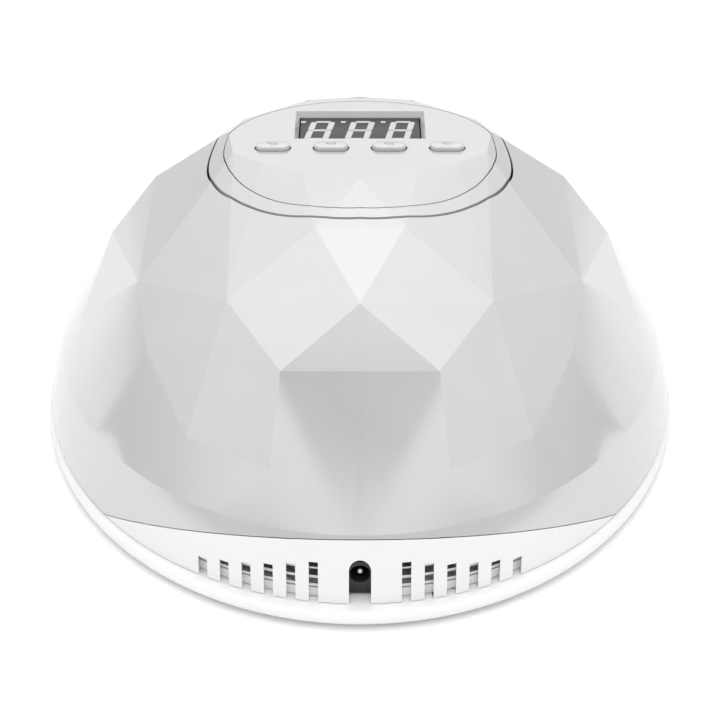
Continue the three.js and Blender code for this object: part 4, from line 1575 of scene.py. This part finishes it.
@dataclass(frozen=True)
class Hood:
    """The glossy white hood over the hand cavity."""

    lamps: Lamps = field(default_factory=Lamps)
    lug: tuple[float, float] = (0.012, 0.0024)
    lug_places: tuple[float, ...] = (-0.020, 0.034)
    lug_reach: float = 0.088
    sensor_place: float = -0.050
    sensor_spacing: float = 0.012
    sensor_radius: float = 0.0015
    sensor_rounding: float = 0.85  # share of its radius
    lug_drill: float = 0.01  # length of the cutter of a screw's hole

    def build(self) -> None:
        """Makes the hood and its sensors and fits them to the housing."""
        hood = CAVITY.solid("inner_hood", CAVITY.wall)
        boolean(hood, DOME.solid("limit"), Cut.COMMON)
        low = DOME.floor + FLANGE + GAP
        width, thickness = self.lug
        for place in self.lug_places:
            y = DOME.plan_y + place
            boolean(hood, add_box("lug", (-self.lug_reach, y - width / 2, low),
                                  (self.lug_reach, y + width / 2, low + thickness)), Cut.JOIN)
        boolean(hood, CAVITY.solid("hand", 0.0))
        boolean(hood, self.lamps.holes())
        boolean(hood, together("small_holes", self._small_holes(low)))
        eased(hood, 0.0002, segments=2, angle=60)
        fitted(smooth(hood, 30), HOOD_WHITE, "inner_hood")
        for name in ("sensor_emitter", "sensor_receiver"):
            self._sensor(name)

    def _small_holes(self, low: float) -> list[bpy.types.Object]:
        """Makes the cutters for the sensors and the lug screws.

        Args:
            low: The underside of the lugs.

        Returns:
            The cutters.
        """
        y = DOME.plan_y + self.sensor_place
        holes = [add_bar("hole", self.sensor_radius + GAP, self.lamps.drill,
                         (x, y, CAVITY.ceiling), sides=28)
                 for x in spread(2, self.sensor_spacing)]
        reach = self.lug_reach - self.lug[0] / 2
        holes += [add_bar("hole", SCREW_HOLE, self.lug_drill,
                          (side * reach, DOME.plan_y + place, low), sides=28)
                  for place in self.lug_places for side in (-1, 1)]
        return holes

    def _sensor(self, name: str) -> None:
        """Makes one sensor, a small round lens that looks down.

        Args:
            name: The node that it stands for.
        """
        low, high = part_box(name)
        middle = (low + high) / 2
        sensor = add_bar(name, self.sensor_radius, high.z - low.z, tuple(middle), sides=28)
        with editing(sensor):
            round_end(sensor, Way.DOWN, self.sensor_radius * self.sensor_rounding, 6)
        fitted(smooth(sensor, 45), SENSOR, name)


# ---------------------------------------------------------------- tray
@dataclass(frozen=True)
class Tray:
    """The loose tray with its rounded edge, its magnet pockets and its feet."""

    lip: tuple[float, float] = (0.0008, 0.005)  # past the dome at the sides, at the ends
    underside: float = 0.0012
    # rounded edge, each [height above the underside, inset from the widest outline]
    edge: tuple[tuple[float, float], ...] = (
        (0, 0.0024), (0.0003, 0.0014), (0.0007, 0.0008), (0.0013, 0.0002), (0.0019, 0),
        (0.0026, 0.0001), (0.0031, 0.0003), (0.0036, 0.0008), (0.0039, 0.0012),
        (0.0042, 0.0019), (0.0043, 0.0026))
    foot_radius: float = 0.006
    foot_bearings: tuple[float, ...] = (38, 142, 218, 322)
    foot_share: float = 0.8
    foot_pocket: float = 0.001
    foot_edge: float = 0.0004
    foot_rim: float = 0.35  # share of its radius
    foot_dish: float = 0.0003
    foot_face: float = 2e-5  # the foot's flat face is larger than this
    magnet_depth: float = 0.0023

    def build(self) -> None:
        """Makes the tray and its feet and fits them."""
        tray = hull("base_tray", [(*self._plan(360 * i / DOME.sides, inset), self.underside + rise)
                                  for rise, inset in self.edge for i in range(DOME.sides)])
        pockets = [add_bar("pocket", self.foot_radius + GAP, self.foot_pocket + PAST,
                           (*DOME.plan(b, self.foot_share),
                            self.underside + (self.foot_pocket - PAST) / 2))
                   for b in self.foot_bearings]
        pockets += [add_bar("pocket", MAGNETS.radius, self.magnet_depth + PAST,
                            (*DOME.plan(b, MAGNETS.share),
                             CAVITY.tray_top + (PAST - self.magnet_depth) / 2))
                    for b in MAGNETS.bearings]
        boolean(tray, together("pockets", pockets))
        eased(tray, 0.0002, segments=2, angle=60)
        fitted(smooth(tray, 32), TRAY_WHITE, "base_tray", body=Body.TRAY.value)
        for i in range(len(self.foot_bearings)):
            self._foot(f"tray_foot_{i + 1}")

    def _plan(self, bearing: float, inset: float) -> tuple[float, float]:
        """A point of the tray's outline.

        Args:
            bearing: From the rear, in degrees.
            inset: How far inside the widest outline.

        Returns:
            Its X and Y.
        """
        turn = math.radians(bearing)
        reach = DOME.rear_reach if math.cos(turn) >= 0 else DOME.front_reach
        side, end = self.lip
        return ((DOME.half_width + side - inset) * math.sin(turn),
                DOME.plan_y + (reach + end - inset) * math.cos(turn))

    def _foot(self, name: str) -> None:
        """Makes one soft foot with a rounded edge and a dished middle.

        Args:
            name: The node that it stands for.
        """
        low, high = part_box(name)
        middle = (low + high) / 2
        foot = add_bar(name, self.foot_radius, high.z - low.z, tuple(middle), sides=56)
        with editing(foot):
            round_end(foot, Way.DOWN, self.foot_edge, 3)
            select(foot, Pick.FACES, facing(Way.DOWN, 0.99, self.foot_face))
            bpy.ops.mesh.inset(thickness=self.foot_radius * self.foot_rim)
            bpy.ops.mesh.inset(thickness=self.foot_edge)
            bpy.ops.transform.translate(value=(0, 0, self.foot_dish))
        fitted(smooth(foot), RUBBER, name, body=Body.TRAY.value)


# ---------------------------------------------------------------- carried-over nodes
CARRIED: dict[str, Finish] = {
    "control_board": GREEN, "jack_board": GREEN, "sensor_board": GREEN,
    "supply_lead": JACKET, "lamp_lead": JACKET, "tact_switch": BLACK,
    "housing_magnet": NICKEL, "tray_magnet": NICKEL,
    "housing_screw": STEEL, "hood_screw": STEEL, "board_screw": STEEL,
}


def dress_carried() -> None:
    """Gives every carried-over node its finish."""
    for name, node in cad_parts.items():
        finish = next((f for start, f in CARRIED.items() if name.startswith(start)), None)
        if finish is None:
            continue
        dress(node, finish)
        log.info("%s: carried over in %s", name, finish.name)


# ---------------------------------------------------------------- studio
@dataclass(frozen=True)
class Studio:
    """The camera, the pale floor and the soft light."""

    camera_place: Point = (0.0, 0.4918, 0.3195)
    camera_pitch: float = 58.45
    lens: float = 87.5
    clip: tuple[float, float] = (0.01, 20.0)
    floor_size: float = 8.0
    floor_tone: float = 0.95
    floor_roughness: float = 0.9
    # the sky's strength, each [sine of the elevation, strength]
    sky: tuple[tuple[float, float], ...] = (
        (-0.2, 0.55), (0.0, 0.55), (0.26, 0.62), (0.47, 1.00), (0.79, 1.15), (0.90, 1.28),
        (0.94, 1.44), (0.98, 1.56), (0.995, 1.90))
    shade_place: Point = (0.0, 0.663, 0.749)  # a dark patch behind the viewer
    shade_stretch: Point = (0.5, 1.0, 1.0)
    shade_edge: tuple[float, float] = (0.05, 0.12)
    shade: float = 0.92
    far_edge: tuple[float, float] = (-0.35, -0.9)  # where the far wall glows
    far_glow: float = 1.3
    sun: float = 0.5  # the soft light that the gloss doesn't mirror
    sun_pitch: float = 38.0
    sun_angle: float = 70.0

    def camera(self) -> None:
        """Adds the camera, above and behind the lamp, looking down at its rear."""
        alone()
        bpy.ops.object.camera_add(
            location=self.camera_place,
            rotation=(math.radians(self.camera_pitch), 0, math.radians(180)))
        camera = bpy.context.object
        camera.data.lens = self.lens
        camera.data.clip_start, camera.data.clip_end = self.clip
        bpy.context.scene.camera = camera

    def floor(self) -> None:
        """Adds the pale floor."""
        alone()
        bpy.ops.mesh.primitive_plane_add(size=self.floor_size)
        floor = settled("floor")
        material = bpy.data.materials.new("floor_paper")
        material.use_nodes = True
        shader = material.node_tree.nodes["Principled BSDF"]
        shader.inputs["Base Color"].default_value = (*[self.floor_tone] * 3, 1)
        shader.inputs["Roughness"].default_value = self.floor_roughness
        shader.inputs["Specular IOR Level"].default_value = 0.0
        floor.data.materials.append(material)

    def light(self) -> None:
        """Adds the sky and a soft sun that the gloss doesn't mirror."""
        scene = bpy.context.scene
        scene.view_settings.view_transform = "Standard"
        world = bpy.data.worlds.new("studio")
        scene.world = world
        world.use_nodes = True
        tree = world.node_tree
        sky = tree.nodes["Background"]
        sky.inputs["Color"].default_value = (1, 1, 1, 1)
        seen = tree.nodes.new("ShaderNodeLightPath").outputs["Is Camera Ray"]
        backdrop = tree.nodes.new("ShaderNodeMix")
        backdrop.inputs["B"].default_value = 1.0
        tree.links.new(seen, backdrop.inputs["Factor"])
        tree.links.new(self._sky(tree), backdrop.inputs["A"])
        tree.links.new(backdrop.outputs["Result"], sky.inputs["Strength"])
        alone()
        bpy.ops.object.light_add(type="SUN", rotation=(math.radians(-self.sun_pitch), 0, 0))
        sun = bpy.context.object
        sun.data.energy = self.sun
        sun.data.angle = math.radians(self.sun_angle)
        sun.visible_glossy = False

    def _sky(self, tree: bpy.types.NodeTree) -> bpy.types.NodeSocket:
        """Adds the sky's strength: brighter overhead, a dark patch and a glowing far wall.

        Args:
            tree: The world's nodes.

        Returns:
            The strength.
        """
        place = tree.nodes.new("ShaderNodeTexCoord").outputs["Generated"]
        split = tree.nodes.new("ShaderNodeSeparateXYZ")
        tree.links.new(place, split.inputs["Vector"])
        offset, stretched, away = (tree.nodes.new("ShaderNodeVectorMath") for _ in range(3))
        offset.operation, offset.inputs[1].default_value = "SUBTRACT", self.shade_place
        stretched.operation, stretched.inputs[1].default_value = "MULTIPLY", self.shade_stretch
        away.operation = "LENGTH"
        tree.links.new(place, offset.inputs[0])
        tree.links.new(offset.outputs["Vector"], stretched.inputs[0])
        tree.links.new(stretched.outputs["Vector"], away.inputs[0])
        strength = self._curve(tree, split.outputs["Z"])
        for factor in (
                self._ramp(tree, away.outputs["Value"], self.shade_edge, (1 - self.shade, 1.0)),
                self._ramp(tree, split.outputs["Y"], self.far_edge, (1.0, self.far_glow))):
            strength = self._sum(tree, "MULTIPLY", strength, factor)
        return strength

    def _sum(self, tree: bpy.types.NodeTree, operation: str, first: bpy.types.NodeSocket,
             second: bpy.types.NodeSocket) -> bpy.types.NodeSocket:
        """Adds a node that works out a sum.

        Args:
            tree: The nodes it joins.
            operation: What it does with the two values.
            first: One value.
            second: The other.

        Returns:
            Its result.
        """
        node = tree.nodes.new("ShaderNodeMath")
        node.operation = operation
        tree.links.new(first, node.inputs[0])
        tree.links.new(second, node.inputs[1])
        return node.outputs["Value"]

    def _curve(self, tree: bpy.types.NodeTree,
               value: bpy.types.NodeSocket) -> bpy.types.NodeSocket:
        """Adds the sky's strength over its height.

        Args:
            tree: The nodes it joins.
            value: The sine of the elevation.

        Returns:
            The strength.
        """
        total = tree.nodes.new("ShaderNodeValue").outputs["Value"]
        total.default_value = self.sky[0][1]
        for (low, before), (high, after) in zip(self.sky, self.sky[1:]):
            step = self._ramp(tree, value, (low, high), (0.0, after - before), "LINEAR")
            total = self._sum(tree, "ADD", total, step)
        return total

    def _ramp(self, tree: bpy.types.NodeTree, value: bpy.types.NodeSocket,
              start: tuple[float, float], end: tuple[float, float],
              kind: str = "SMOOTHSTEP") -> bpy.types.NodeSocket:
        """Adds a change from one span of values to another.

        Args:
            tree: The nodes it joins.
            value: What it reads.
            start: The span that it reads.
            end: The span that it gives.
            kind: How it goes between them.

        Returns:
            Its result.
        """
        ramp = tree.nodes.new("ShaderNodeMapRange")
        ramp.interpolation_type = kind
        for label, number in zip(("From Min", "From Max", "To Min", "To Max"), (*start, *end)):
            ramp.inputs[label].default_value = number
        tree.links.new(value, ramp.inputs["Value"])
        return ramp.outputs["Result"]


def main() -> None:
    """Builds the lamp and its studio."""
    studio = Studio()
    studio.camera()
    Shell().build()
    BaseFrame().build()
    PanelParts().build()
    Display().build()
    Buttons().build()
    Inlet().build()
    lamps = Lamps()
    Hood(lamps).build()
    lamps.build()
    Tray().build()
    dress_carried()
    studio.floor()
    studio.light()


if __name__ == "__main__":
    main()
